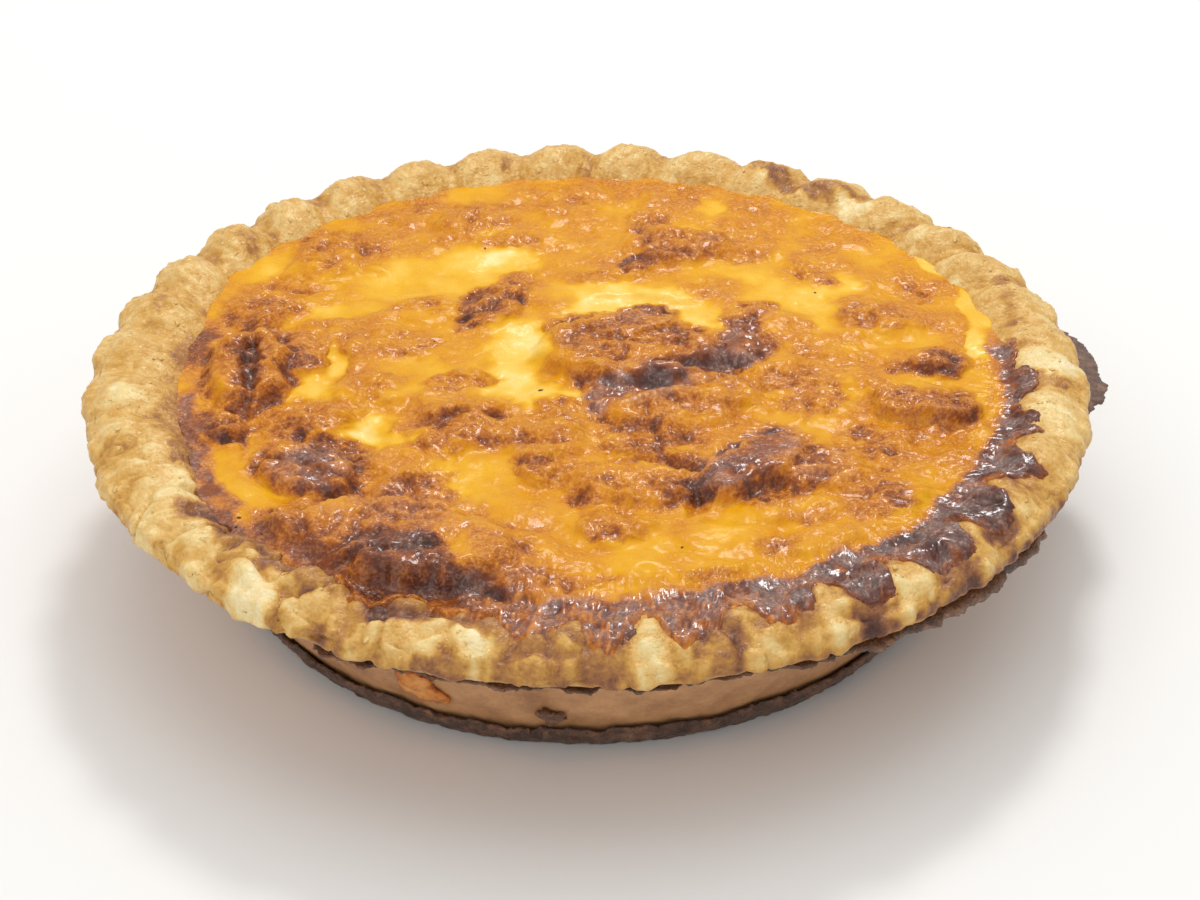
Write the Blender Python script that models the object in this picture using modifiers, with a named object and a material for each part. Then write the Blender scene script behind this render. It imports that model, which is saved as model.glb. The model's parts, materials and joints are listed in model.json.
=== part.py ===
"""A round quiche baked in a short pastry case: crimped case, egg filling that has boiled over the rim,
and the filling that leaked and burnt under the rim and round the foot.

Units are metres. +Z is up, the quiche stands on z = 0 with its axis on Z, and its front faces -Y.
Every piece is worked out in columns: a column is a direction round the axis, and CRIMP_COUNT crimps
share the circle, so a crimp's crest lies on a whole column and its valley half-way to the next.
"""

import math

import bmesh
import bpy
from mathutils import Vector

# The case
RIM_RADIUS = 0.1000
RIM_EDGE_Z = 0.0362
CREST_RADIUS = 0.0915
CREST_Z = 0.0418
RIM_FALL = 63.0  # the rim's top falls by this times the squared distance from its crest
UNDERSIDE_Z = 0.0326
INNER_EDGE_RADIUS = 0.0825
WALL_TOP_RADIUS = 0.0866
FOOT_RADIUS = 0.0684
WALL = 0.0036
FLOOR = 0.0034
OUTER_TOP_RADIUS = 0.0984

# The crimps
CRIMP_COUNT = 36
COLUMNS = 4 * CRIMP_COUNT
FIRST_CREST = math.radians(5)
UNEVEN = math.radians(1.2)  # crimps are closer together on one side of the circle than on the other
BUNCHED = (math.radians(3.4), math.radians(-15), math.radians(30))  # and pushed round here: how far, where, spread
CRIMP_SKEW = math.radians(3.5)  # how far a crimp turns across the width of the rim
CRIMP_RISE = 0.0013
CRIMP_REACH = 0.0009
RIM_WIDTH = RIM_RADIUS - INNER_EDGE_RADIUS

# The filling
GAP = 0.0004  # the clearance between one piece and the next
LAP = 0.0845  # how far out the filling reaches where it hasn't boiled over
CREST_LAP = 0.0030
VALLEY_LAP = 0.0058
LIP = 0.0009
FILLING_EDGE_Z = 0.0388
FILLING_CROWN = 0.0022
SPILL_MIDDLE = math.radians(-58)
SPILL_HALF = math.radians(62)
SPILL_RISE = 0.0012

# Raised parts of the filling: x, y, half length, half width, turn in degrees, rise
MOUNDS = [
    (-0.033, -0.055, 0.030, 0.015, -12, 0.0026),
    (0.012, 0.006, 0.024, 0.015, -20, 0.0022),
    (0.022, -0.026, 0.022, 0.014, 15, 0.0020),
    (-0.066, -0.004, 0.014, 0.020, 0, 0.0020),
    (-0.012, 0.066, 0.022, 0.014, 0, 0.0018),
    (0.062, -0.012, 0.018, 0.011, 10, 0.0018),
    (0.058, 0.024, 0.018, 0.014, 30, 0.0016),
    (-0.032, -0.022, 0.020, 0.011, 20, 0.0014),
]

# What leaked out and burnt
FOOT_BAND_TOP = 0.0060
FOOT_BAND_THICK = 0.0016
FOOT_BAND_RADIUS = 0.0706
LEAK_START = math.radians(-126)
LEAK_END = math.radians(24)
LEAK_STEPS = 75
LEAK_THICK = 0.0017
LEAK_INNER = 0.0876
LEAK_EDGE = 0.0985
FLAKE_ANGLE = math.radians(11)
FLAKE_SPREAD = (math.radians(13), math.radians(10))  # before and after its middle
FLAKE_REACH = 0.0092
DRIP_ANGLE = math.radians(-110.5)
DRIP_Z = 0.0145
DRIP_SIZE = (0.0095, 0.0026, 0.0130)  # across, out from the wall, and up it


# ---------------------------------------------------------------- shape rules


def smooth_step(value):
    """0 below 0, 1 above 1, and a smooth rise between."""
    t = min(1.0, max(0.0, value))
    return t * t * (3 - 2 * t)


def angle_between(a, b):
    return (a - b + math.pi) % (2 * math.pi) - math.pi


def crest(column_angle):
    """1 on a crimp's crest and -1 in a valley."""
    return math.cos(CRIMP_COUNT * column_angle)


def direction(column_angle, radius):
    """The true angle of a column at a radius: the crimps are unevenly spaced, and turn across the rim."""
    shift, middle, spread = BUNCHED
    uneven = UNEVEN * (1 - math.cos(column_angle - math.radians(90)))
    uneven += shift * math.exp(-((angle_between(column_angle, middle) / spread) ** 2))
    skew = CRIMP_SKEW * (CREST_RADIUS - radius) / RIM_WIDTH
    on_rim = smooth_step((radius - 0.060) / 0.020)
    return FIRST_CREST + column_angle + uneven + skew * on_rim


def spill(column_angle):
    """1 where the filling has boiled over most, and 0 where it has kept inside."""
    off = abs(angle_between(column_angle, SPILL_MIDDLE)) / SPILL_HALF
    return smooth_step(1.6 * (1 - off))


def lap_radius(column_angle):
    """How far out the filling reaches over the rim."""
    valley = (1 - crest(column_angle)) / 2
    return LAP + spill(column_angle) * (CREST_LAP + VALLEY_LAP * valley)


def boldness(column_angle):
    """The crimps stand up most at the back, and were pressed flatter at the front and the left."""
    return 0.80 + 0.35 * math.sin(column_angle + math.radians(15))


def rim_z(column_angle, radius):
    """The height of the rim's top."""
    off = radius - CREST_RADIUS
    window = max(0.0, 1 - (off / 0.0115) ** 2)
    rise = CRIMP_RISE * boldness(column_angle) * crest(column_angle) * window
    return CREST_Z - RIM_FALL * off * off + rise


def fill_z(column_angle, radius):
    """The height of the filling inside the rim."""
    angle = direction(column_angle, radius)
    x, y = radius * math.cos(angle), radius * math.sin(angle)
    z = FILLING_EDGE_Z + SPILL_RISE * spill(column_angle) * (radius / LAP) ** 2
    z += FILLING_CROWN * (1 - (radius / LAP) ** 2)
    inside = 1 - smooth_step((radius - 0.070) / 0.011)
    for mound_x, mound_y, length, width, turn, rise in MOUNDS:
        turned_by = math.radians(turn)
        dx, dy = x - mound_x, y - mound_y
        along = (dx * math.cos(turned_by) + dy * math.sin(turned_by)) / length
        across = (dy * math.cos(turned_by) - dx * math.sin(turned_by)) / width
        z += rise * inside * math.exp(-1.2 * (along * along + across * across))
    return z


def wall_radius(z):
    """The radius of the case's outer wall at a height."""
    return FOOT_RADIUS + (WALL_TOP_RADIUS - FOOT_RADIUS) * z / UNDERSIDE_Z


# ------------------------------------------------------------- Blender helpers


def clear_scene():
    for item in list(bpy.data.objects):
        bpy.data.objects.remove(item)


def collection_named(name):
    made = bpy.data.collections.new(name)
    bpy.context.scene.collection.children.link(made)
    return made


def material_named(name, colour, roughness):
    made = bpy.data.materials.new(name)
    made.use_nodes = True
    shader = made.node_tree.nodes["Principled BSDF"]
    shader.inputs["Base Color"].default_value = (*colour, 1)
    shader.inputs["Roughness"].default_value = roughness
    shader.inputs["Metallic"].default_value = 0
    return made


def place(mesh, name, material, into):
    made = bpy.data.objects.new(name, mesh)
    into.objects.link(made)
    mesh.materials.append(material)
    mesh.shade_smooth()
    mesh.set_sharp_from_angle(angle=math.radians(40))
    return made


def turned(profile, columns):
    """The mesh of a profile of (radius, z) turned about Z, listed from the top's centre round to the foot's."""
    outline = bpy.data.meshes.new("outline")
    points = [(radius, 0, z) for radius, z in profile]
    outline.from_pydata(points, [(i, i + 1) for i in range(len(points) - 1)], [])
    guide = bpy.data.objects.new("outline", outline)
    bpy.context.scene.collection.objects.link(guide)
    screw = guide.modifiers.new("turn", "SCREW")
    screw.steps = columns
    screw.render_steps = columns
    screw.use_merge_vertices = True
    screw.merge_threshold = 0.00001
    graph = bpy.context.evaluated_depsgraph_get()
    mesh = bpy.data.meshes.new_from_object(guide.evaluated_get(graph))
    bpy.data.objects.remove(guide)
    return mesh


def split_quads(mesh):
    """Cuts each face along its shorter diagonal, so that two pieces that lie together fold alike."""
    shape = bmesh.new()
    shape.from_mesh(mesh)
    bmesh.ops.triangulate(shape, faces=shape.faces, quad_method="SHORT_EDGE")
    shape.to_mesh(mesh)
    shape.free()


def move_points(mesh, rule):
    """Moves each point to where rule(column_angle, radius, z) puts it, as (radius, z)."""
    for vertex in mesh.vertices:
        radius = math.hypot(vertex.co.x, vertex.co.y)
        column_angle = math.atan2(vertex.co.y, vertex.co.x)
        radius, z = rule(column_angle, radius, vertex.co.z)
        angle = direction(column_angle, radius)
        vertex.co = Vector((radius * math.cos(angle), radius * math.sin(angle), z))
    split_quads(mesh)


def lapped(column_angle, radius):
    """Stretches the rings between the inner edge and LAP out to the filling's edge, and squeezes the rest."""
    edge = lap_radius(column_angle)
    if radius <= LAP:
        share = (radius - INNER_EDGE_RADIUS) / (LAP - INNER_EDGE_RADIUS)
        return INNER_EDGE_RADIUS + share * (edge - INNER_EDGE_RADIUS)
    share = (radius - LAP) / (OUTER_TOP_RADIUS - LAP)
    return edge + share * (OUTER_TOP_RADIUS - edge)


# ---------------------------------------------------------------------- pieces

# Rings that the case and the filling share, where one lies on the other
SHARED_RINGS = [LAP, (LAP + INNER_EDGE_RADIUS) / 2, INNER_EDGE_RADIUS]
RIM_RINGS = [OUTER_TOP_RADIUS, 0.0950, CREST_RADIUS, 0.0880]


def inner_wall():
    """The inside of the case below the rim: the wall's top, its foot, and the middle of the floor."""
    foot = wall_radius(FLOOR) - WALL
    return [(foot, FLOOR), (0, FLOOR)]


def case_mesh():
    """The pastry case: a floor, a sloping wall and a crimped rim, in one turned shape."""
    outside = [
        (0.0995, 0.0382),
        (RIM_RADIUS, RIM_EDGE_Z),
        (0.0990, 0.0343),
        (0.0955, 0.0330),
        (WALL_TOP_RADIUS + 0.0006, UNDERSIDE_Z),
        (FOOT_RADIUS, 0.0008),
        (FOOT_RADIUS - 0.0012, 0),
        (0, 0),
    ]
    top = [(radius, rim_z(0, radius)) for radius in RIM_RINGS + SHARED_RINGS]
    inside = inner_wall()[::-1]
    mesh = turned(inside + top[::-1] + outside, COLUMNS)

    def rule(column_angle, radius, z):
        if z < 0.0340 or (radius < INNER_EDGE_RADIUS - 0.0001):
            return radius, z
        if radius <= OUTER_TOP_RADIUS + 0.00001:
            radius = lapped(column_angle, radius)
            return radius, rim_z(column_angle, radius)
        lift = 0.6 * CRIMP_RISE * boldness(column_angle) * crest(column_angle)
        share = (z - 0.0340) / (0.0382 - 0.0340)
        return radius + CRIMP_REACH * crest(column_angle), z + lift * share

    move_points(mesh, rule)
    return mesh


def filling_mesh():
    """The egg filling: it fills the case to its floor, domes over it, and laps the rim's inner slope."""
    rings = [0.0, 0.010, 0.021, 0.032, 0.043, 0.054, 0.064, 0.073]
    top = [(radius, 0.05) for radius in rings]
    top += [(radius, 0.05) for radius in SHARED_RINGS[::-1]]
    under = [(radius, 0.03) for radius in SHARED_RINGS]
    below = [(radius - 2 * GAP if radius else 0, z + GAP) for radius, z in inner_wall()]
    mesh = turned(top + under + below, COLUMNS)

    def rule(column_angle, radius, z):
        if z < 0.02:
            return radius, z
        if radius < INNER_EDGE_RADIUS - 0.001:
            return radius, fill_z(column_angle, radius)
        radius = lapped(column_angle, radius)
        bed = rim_z(column_angle, radius) + GAP
        if z < 0.04:
            inset = 0.0003 if radius < INNER_EDGE_RADIUS + 0.0001 else 0
            return radius - inset, bed
        rest = (radius - INNER_EDGE_RADIUS) / (lap_radius(column_angle) - INNER_EDGE_RADIUS)
        thick = LIP + (fill_z(column_angle, INNER_EDGE_RADIUS) - rim_z(column_angle, INNER_EDGE_RADIUS)
                       - GAP - LIP) * (1 - smooth_step(rest))
        return radius, bed + max(LIP, thick)

    move_points(mesh, rule)
    return mesh


def foot_band_mesh():
    """The dark band of leaked filling that burnt on round the foot of the case."""
    inner, top = wall_radius(FOOT_BAND_TOP) + GAP, FOOT_BAND_TOP
    foot = FOOT_RADIUS + GAP
    outer = inner + FOOT_BAND_THICK
    profile = [(inner, top), (outer, top - 0.0006), (FOOT_BAND_RADIUS, 0), (foot, 0)]
    mesh = turned(profile + profile[:1], COLUMNS // 2)

    def rule(column_angle, radius, z):
        ripple = math.sin(7 * column_angle + 1.0) + 0.6 * math.sin(17 * column_angle)
        if z > 0.001:
            lowered = z - 0.0007 * (1 + ripple / 1.6)
            return radius - (z - lowered) * 0.5 + 0.0002, lowered
        if radius > foot + 0.0005:
            return radius + 0.0003 * ripple, z
        return radius, z

    move_points(mesh, rule)
    return mesh


def leak_radius(angle):
    """The outer edge of the sheet that leaked under the rim, with the flake that sticks out at the right."""
    spread = FLAKE_SPREAD[1] if angle > FLAKE_ANGLE else FLAKE_SPREAD[0]
    flake = math.exp(-abs((angle - FLAKE_ANGLE) / spread) ** 3)
    ragged = 0.0005 * math.sin(31 * angle) + 0.0003 * math.sin(67 * angle)
    ends = min(smooth_step((angle - LEAK_START) / 0.2), smooth_step((LEAK_END - angle) / 0.1))
    return LEAK_INNER + (LEAK_EDGE - LEAK_INNER + FLAKE_REACH * flake + ragged) * (0.5 + 0.5 * ends)


def leak_mesh():
    """A thin burnt sheet under the rim, laid as one loft of four-cornered sections along the arc."""
    top = UNDERSIDE_Z - GAP
    points, faces = [], []
    for step in range(LEAK_STEPS + 1):
        angle = LEAK_START + (LEAK_END - LEAK_START) * step / LEAK_STEPS
        outer = leak_radius(angle)
        beyond = max(0.0, outer - RIM_RADIUS)
        for radius, z in (
            (LEAK_INNER, top),
            (outer, top - 0.25 * beyond),
            (outer - 0.0004, top - 0.25 * beyond - LEAK_THICK),
            (LEAK_INNER, top - LEAK_THICK),
        ):
            points.append((radius * math.cos(angle), radius * math.sin(angle), z))
    for step in range(LEAK_STEPS):
        for corner in range(4):
            a, b = 4 * step + corner, 4 * step + (corner + 1) % 4
            faces.append((a, b, b + 4, a + 4))
    last = 4 * LEAK_STEPS
    faces += [(3, 2, 1, 0), (last, last + 1, last + 2, last + 3)]
    mesh = bpy.data.meshes.new("leak")
    mesh.from_pydata(points, [], faces)
    return mesh


def drip_object(material, into):
    """A blob of cheese that ran down the outside of the wall, flattened against its slope."""
    bpy.ops.mesh.primitive_uv_sphere_add(segments=16, ring_count=10, radius=0.5)
    drip = bpy.context.object
    drip.name = "cheese_drip"
    for collection in list(drip.users_collection):
        collection.objects.unlink(drip)
    into.objects.link(drip)
    across, out, up = DRIP_SIZE
    lean = math.atan2(WALL_TOP_RADIUS - FOOT_RADIUS, UNDERSIDE_Z)
    for vertex in drip.data.vertices:
        point = vertex.co
        vertex.co = Vector((max(-0.05, point.x) * out, point.y * across, point.z * up))
    radius = wall_radius(DRIP_Z) + 2.2 * GAP
    drip.location = (radius * math.cos(DRIP_ANGLE), radius * math.sin(DRIP_ANGLE), DRIP_Z)
    drip.rotation_euler = (0, lean, DRIP_ANGLE)
    drip.data.materials.append(material)
    drip.data.shade_smooth()
    return drip


def main():
    clear_scene()
    quiche = collection_named("quiche")
    pastry = material_named("baked_pastry", (0.62, 0.36, 0.13), 0.6)
    custard = material_named("browned_custard", (0.80, 0.36, 0.04), 0.35)
    burnt = material_named("burnt_custard", (0.075, 0.040, 0.026), 0.55)
    cheese = material_named("leaked_cheese", (0.62, 0.22, 0.03), 0.4)
    place(case_mesh(), "pastry_case", pastry, quiche)
    place(filling_mesh(), "egg_filling", custard, quiche)
    place(foot_band_mesh(), "burnt_foot_band", burnt, quiche)
    place(leak_mesh(), "burnt_leak", burnt, quiche)
    drip_object(cheese, quiche)


main()
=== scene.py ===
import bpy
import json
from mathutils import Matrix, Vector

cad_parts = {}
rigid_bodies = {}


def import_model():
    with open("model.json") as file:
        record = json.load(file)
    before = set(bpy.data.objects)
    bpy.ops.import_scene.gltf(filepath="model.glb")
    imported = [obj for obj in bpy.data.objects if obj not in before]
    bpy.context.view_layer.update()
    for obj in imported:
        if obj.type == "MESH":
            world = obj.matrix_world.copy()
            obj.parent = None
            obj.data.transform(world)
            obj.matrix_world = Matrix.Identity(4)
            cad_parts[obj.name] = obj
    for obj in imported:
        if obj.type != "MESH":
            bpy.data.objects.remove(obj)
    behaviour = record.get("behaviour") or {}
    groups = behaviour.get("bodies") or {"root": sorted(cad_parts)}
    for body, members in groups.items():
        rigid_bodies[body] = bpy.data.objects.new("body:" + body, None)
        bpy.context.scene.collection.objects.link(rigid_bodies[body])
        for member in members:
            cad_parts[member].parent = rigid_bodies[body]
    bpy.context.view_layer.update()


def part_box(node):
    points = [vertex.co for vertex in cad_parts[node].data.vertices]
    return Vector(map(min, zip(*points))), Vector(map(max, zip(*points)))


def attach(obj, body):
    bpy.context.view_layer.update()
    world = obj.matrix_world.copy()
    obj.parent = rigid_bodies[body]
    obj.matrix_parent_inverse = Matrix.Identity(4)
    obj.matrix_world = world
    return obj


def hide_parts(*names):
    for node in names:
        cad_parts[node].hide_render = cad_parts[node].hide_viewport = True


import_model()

import json
import math
from math import pi, radians

import bmesh
import bpy
import numpy as np
from mathutils import Matrix, Vector

mm = 0.001
gap = 0.05 * mm  # how far the surfaces stay inside their solids' boxes
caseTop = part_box("pastry_case")[1].z
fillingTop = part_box("egg_filling")[1].z
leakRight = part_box("burnt_leak")[1].x


# Noise and soft edges, worked out on whole arrays of points

def hashed(ix, iy, iz, seed):  # a fixed random number below 2**32 for each point of a lattice
    h = ix.astype(np.uint64) * np.uint64(73856093) ^ iy.astype(np.uint64) * np.uint64(19349663)
    h = (h ^ iz.astype(np.uint64) * np.uint64(83492791) ^ np.uint64(seed * 2654435761 + 97)) & np.uint64(0xFFFFFFFF)
    for shift, factor in ((15, 2246822519), (13, 3266489917)):
        h = ((h ^ (h >> np.uint64(shift))) * np.uint64(factor)) & np.uint64(0xFFFFFFFF)
    return (h ^ (h >> np.uint64(16))).astype(np.int64)


def tenBits(h, k):  # one of three numbers from 0 to 1023 in a hashed one
    return (h >> 10 * k) & 1023


def softNoise(points, size, seed):  # smooth lumps of the given size, mostly between -1 and 1
    q = points / size + seed * 7.31
    base = np.floor(q).astype(np.int64)
    f = q - base
    fade = f * f * f * (f * (f * 6 - 15) + 10)
    total = np.zeros(points.shape[:-1])
    for corner in np.ndindex(2, 2, 2):
        wx, wy, wz = (fade[..., k] if corner[k] else 1 - fade[..., k] for k in range(3))
        h = hashed(*(base[..., k] + corner[k] for k in range(3)), seed)
        total += wx * wy * wz * sum((tenBits(h, k) / 511.5 - 1) * (f[..., k] - corner[k]) for k in range(3))
    return total * 2.2


def noises(points, *layers):  # soft noises added up: the strength, size and seed of each
    return sum(strength * softNoise(points, size, seed) for strength, size, seed in layers)


def roughNoise(points, size, seed):  # soft noise with a finer layer on it
    return noises(points, (1, size, seed), (0.5, size / 2, seed + 11))


def ridges(points, size, seed):  # 1 along thin creases and 0 between them
    return 1 - np.clip(np.abs(softNoise(points, size, seed)) * 2.2, 0, 1)


def cells(points, size, seed):  # distances to the nearest and the next of scattered points, in sizes
    q = points / size
    base = np.floor(q).astype(np.int64)
    near = np.full(points.shape[:-1], 9.0)
    following = np.full(points.shape[:-1], 9.0)
    for step in np.ndindex(3, 3, 3):
        cell = base + np.array(step) - 1
        h = hashed(cell[..., 0], cell[..., 1], cell[..., 2], seed)
        spot = cell + np.stack([tenBits(h, k) for k in range(3)], -1) / 1023
        d = np.linalg.norm(q - spot, axis=-1)
        following = np.minimum(following, np.maximum(near, d))
        near = np.minimum(near, d)
    return near, following


def smoothStep(value):
    t = np.clip(value, 0, 1)
    return t * t * (3 - 2 * t)


def mix(a, b, share):
    return a * (1 - share) + b * share


def larger(a, b, blend):  # the larger of two heights, with a rounded join
    return (a + b + np.sqrt((a - b) ** 2 + blend * blend)) / 2


def angleBetween(a, b):
    return (a - b + pi) % (2 * pi) - pi


def degreesOff(angle, middle):  # how far an angle is from a middle given in degrees
    return np.abs(np.degrees(angleBetween(angle, radians(middle))))


def beside(angle, middle, half, reach=1.5):  # 1 round a middle, and 0 from reach half widths off; in degrees
    return smoothStep(reach - degreesOff(angle, middle) / half)


def place(x, y, z=0.0):
    return np.stack([x, y, np.zeros_like(x) + z], -1)


def around(angle, radius, z=0.0):
    return place(radius * np.cos(angle), radius * np.sin(angle), z)


def inBlob(x, y, blob):  # 1 inside a soft-edged oval and 0 outside; x, y and the sizes are in mm
    cx, cy, length, width, turn, soft = blob
    c, s = math.cos(radians(turn)), math.sin(radians(turn))
    d = np.hypot(((x - cx) * c + (y - cy) * s) / length, ((y - cy) * c - (x - cx) * s) / width)
    return smoothStep((1 + soft / 2 - d) / soft)


# The crust's shape

crust = dict(
    crimps=36, firstCrest=radians(5), uneven=radians(1.2), skew=radians(3.5),
    bunch=radians(3.4), bunchMiddle=radians(-15), bunchSpread=radians(30),
    crestRadius=0.0915, rimWidth=0.0175, rimFall=63.0, broadFall=24.0, crimpRise=0.00135, crimpReach=0.0009,
    crimpWidth=0.0115, crimpGirth=91.5, crestZ=caseTop - 0.0019, innerEdge=0.0805, topEdge=0.0974, reliefZ=0.040,
    rimRadius=0.0996, rimEdgeZ=0.0360, rimUnder=(0.0955, 0.0331), wallHead=(0.0873, 0.0326), wallTop=0.0866,
    wallTopZ=0.0312, footRadius=0.0684, footZ=0.0002, floorZ=0.0034,
    topRings=34, rollRings=24, underRings=11, wallRings=24, columns=1008,
)


def direction(column, radius):  # the true angle of a column of the crimping at a radius
    uneven = crust["uneven"] * (1 - np.cos(column - pi / 2))
    bunched = crust["bunch"] * np.exp(-(angleBetween(column, crust["bunchMiddle"]) / crust["bunchSpread"]) ** 2)
    skew = crust["skew"] * (crust["crestRadius"] - radius) / crust["rimWidth"]
    return crust["firstCrest"] + column + uneven + bunched + skew * smoothStep((radius - 0.060) / 0.020)


def columnAt(angle, radius):
    column = angle - crust["firstCrest"]
    for _ in range(5):
        column = column - angleBetween(direction(column, radius), angle)
    return column


def crimpWave(column):  # a wide pillow with a narrow valley on each side
    valley = (1 - np.cos(crust["crimps"] * column)) / 2
    return 1 - 2 * valley ** 1.8


def boldness(column):  # the crimps stand up at the back and are pressed flat at the left and the front
    back = smoothStep(0.5 + 1.1 * np.sin(column - 0.30))
    return np.clip(0.42 + 0.68 * back - 0.42 * beside(column, 186, 34, 1.45), 0.16, 1.2)


def frontness(angle):  # 1 at the front, where the pastry broke up into lumps
    return beside(angle, -88, 46)


def boiledOver(angle):  # 1 where the filling has run over the rim
    return beside(angle, -58, 38.75, 1.6)


def broadRim(angle):  # 1 at the left, where the rim is pressed out flat and broad
    return beside(angle, -177, 17, 1.9)


def wallRadius(z):
    slope = (crust["wallTop"] - crust["footRadius"] - 1.0 * mm) / crust["wallTopZ"]
    return crust["footRadius"] + 0.9 * mm + slope * z


def crustRelief(points, angle):  # blisters, flakes and grain of the baked pastry, in metres
    front = frontness(angle)
    r = np.hypot(points[..., 0], points[..., 1])
    warped = points + np.stack([softNoise(points, 6 * mm, seed) for seed in (18, 19, 20)], -1) * 1.3 * mm
    near, following = cells(warped * (1, 1, 0.8), 7.0 * mm, 5)
    popcorn = smoothStep((following - near) * 2.6) - 0.55
    small, _ = cells(warped, 2.5 * mm, 6)
    torn = 1.05 * softNoise(points, 9.0 * mm, 26) - 1.3 * ridges(warped, 10 * mm, 27) ** 5
    lumps = noises(points, (0.34, 7 * mm, 21), (0.26, 3.1 * mm, 22)) + beside(angle, -138, 24) * torn
    # flakes lie along the crimps
    slanted = np.stack([columnAt(angle, r) * crust["crimpGirth"] / 2.1, r / (8 * mm), points[..., 2] / (5 * mm)], -1)
    flakes = ridges(slanted, 1.0, 23) ** 2 * 0.24 - ridges(slanted * (0.45, 1.4, 1), 1.0, 25) ** 3 * 0.34
    grain = softNoise(points, 1.5 * mm, 24) * 0.13
    return (popcorn * mix(0.18, 1.05, front) + (0.5 - small) * mix(0.18, 0.26, front) + lumps * (1 + 0.45 * front)
            + flakes * mix(1.0, 0.5, front) + grain) * mm


def crustTop(x, y):
    radius, angle = np.hypot(x, y), np.arctan2(y, x)
    off = radius - crust["crestRadius"]
    fall = np.where(off < 0, mix(crust["rimFall"], crust["broadFall"], broadRim(angle)), crust["rimFall"])
    column = columnAt(angle, radius)
    window = np.clip(1 - (off / crust["crimpWidth"]) ** 2, 0, 1)
    z = crust["crestZ"] - fall * off * off + crust["crimpRise"] * boldness(column) * crimpWave(column) * window
    return z + crustRelief(place(x, y, crust["reliefZ"]), angle) * smoothStep((radius - 0.0795) / 0.004)


# Browning is one number: 0 cream, 0.35 yellow, 0.5 orange, 0.7 tan brown, 0.85 red-brown, 1 charred.
# Each spot is x, y, half length, half width (mm), turn (degrees), browning, softness of its edge.

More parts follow.
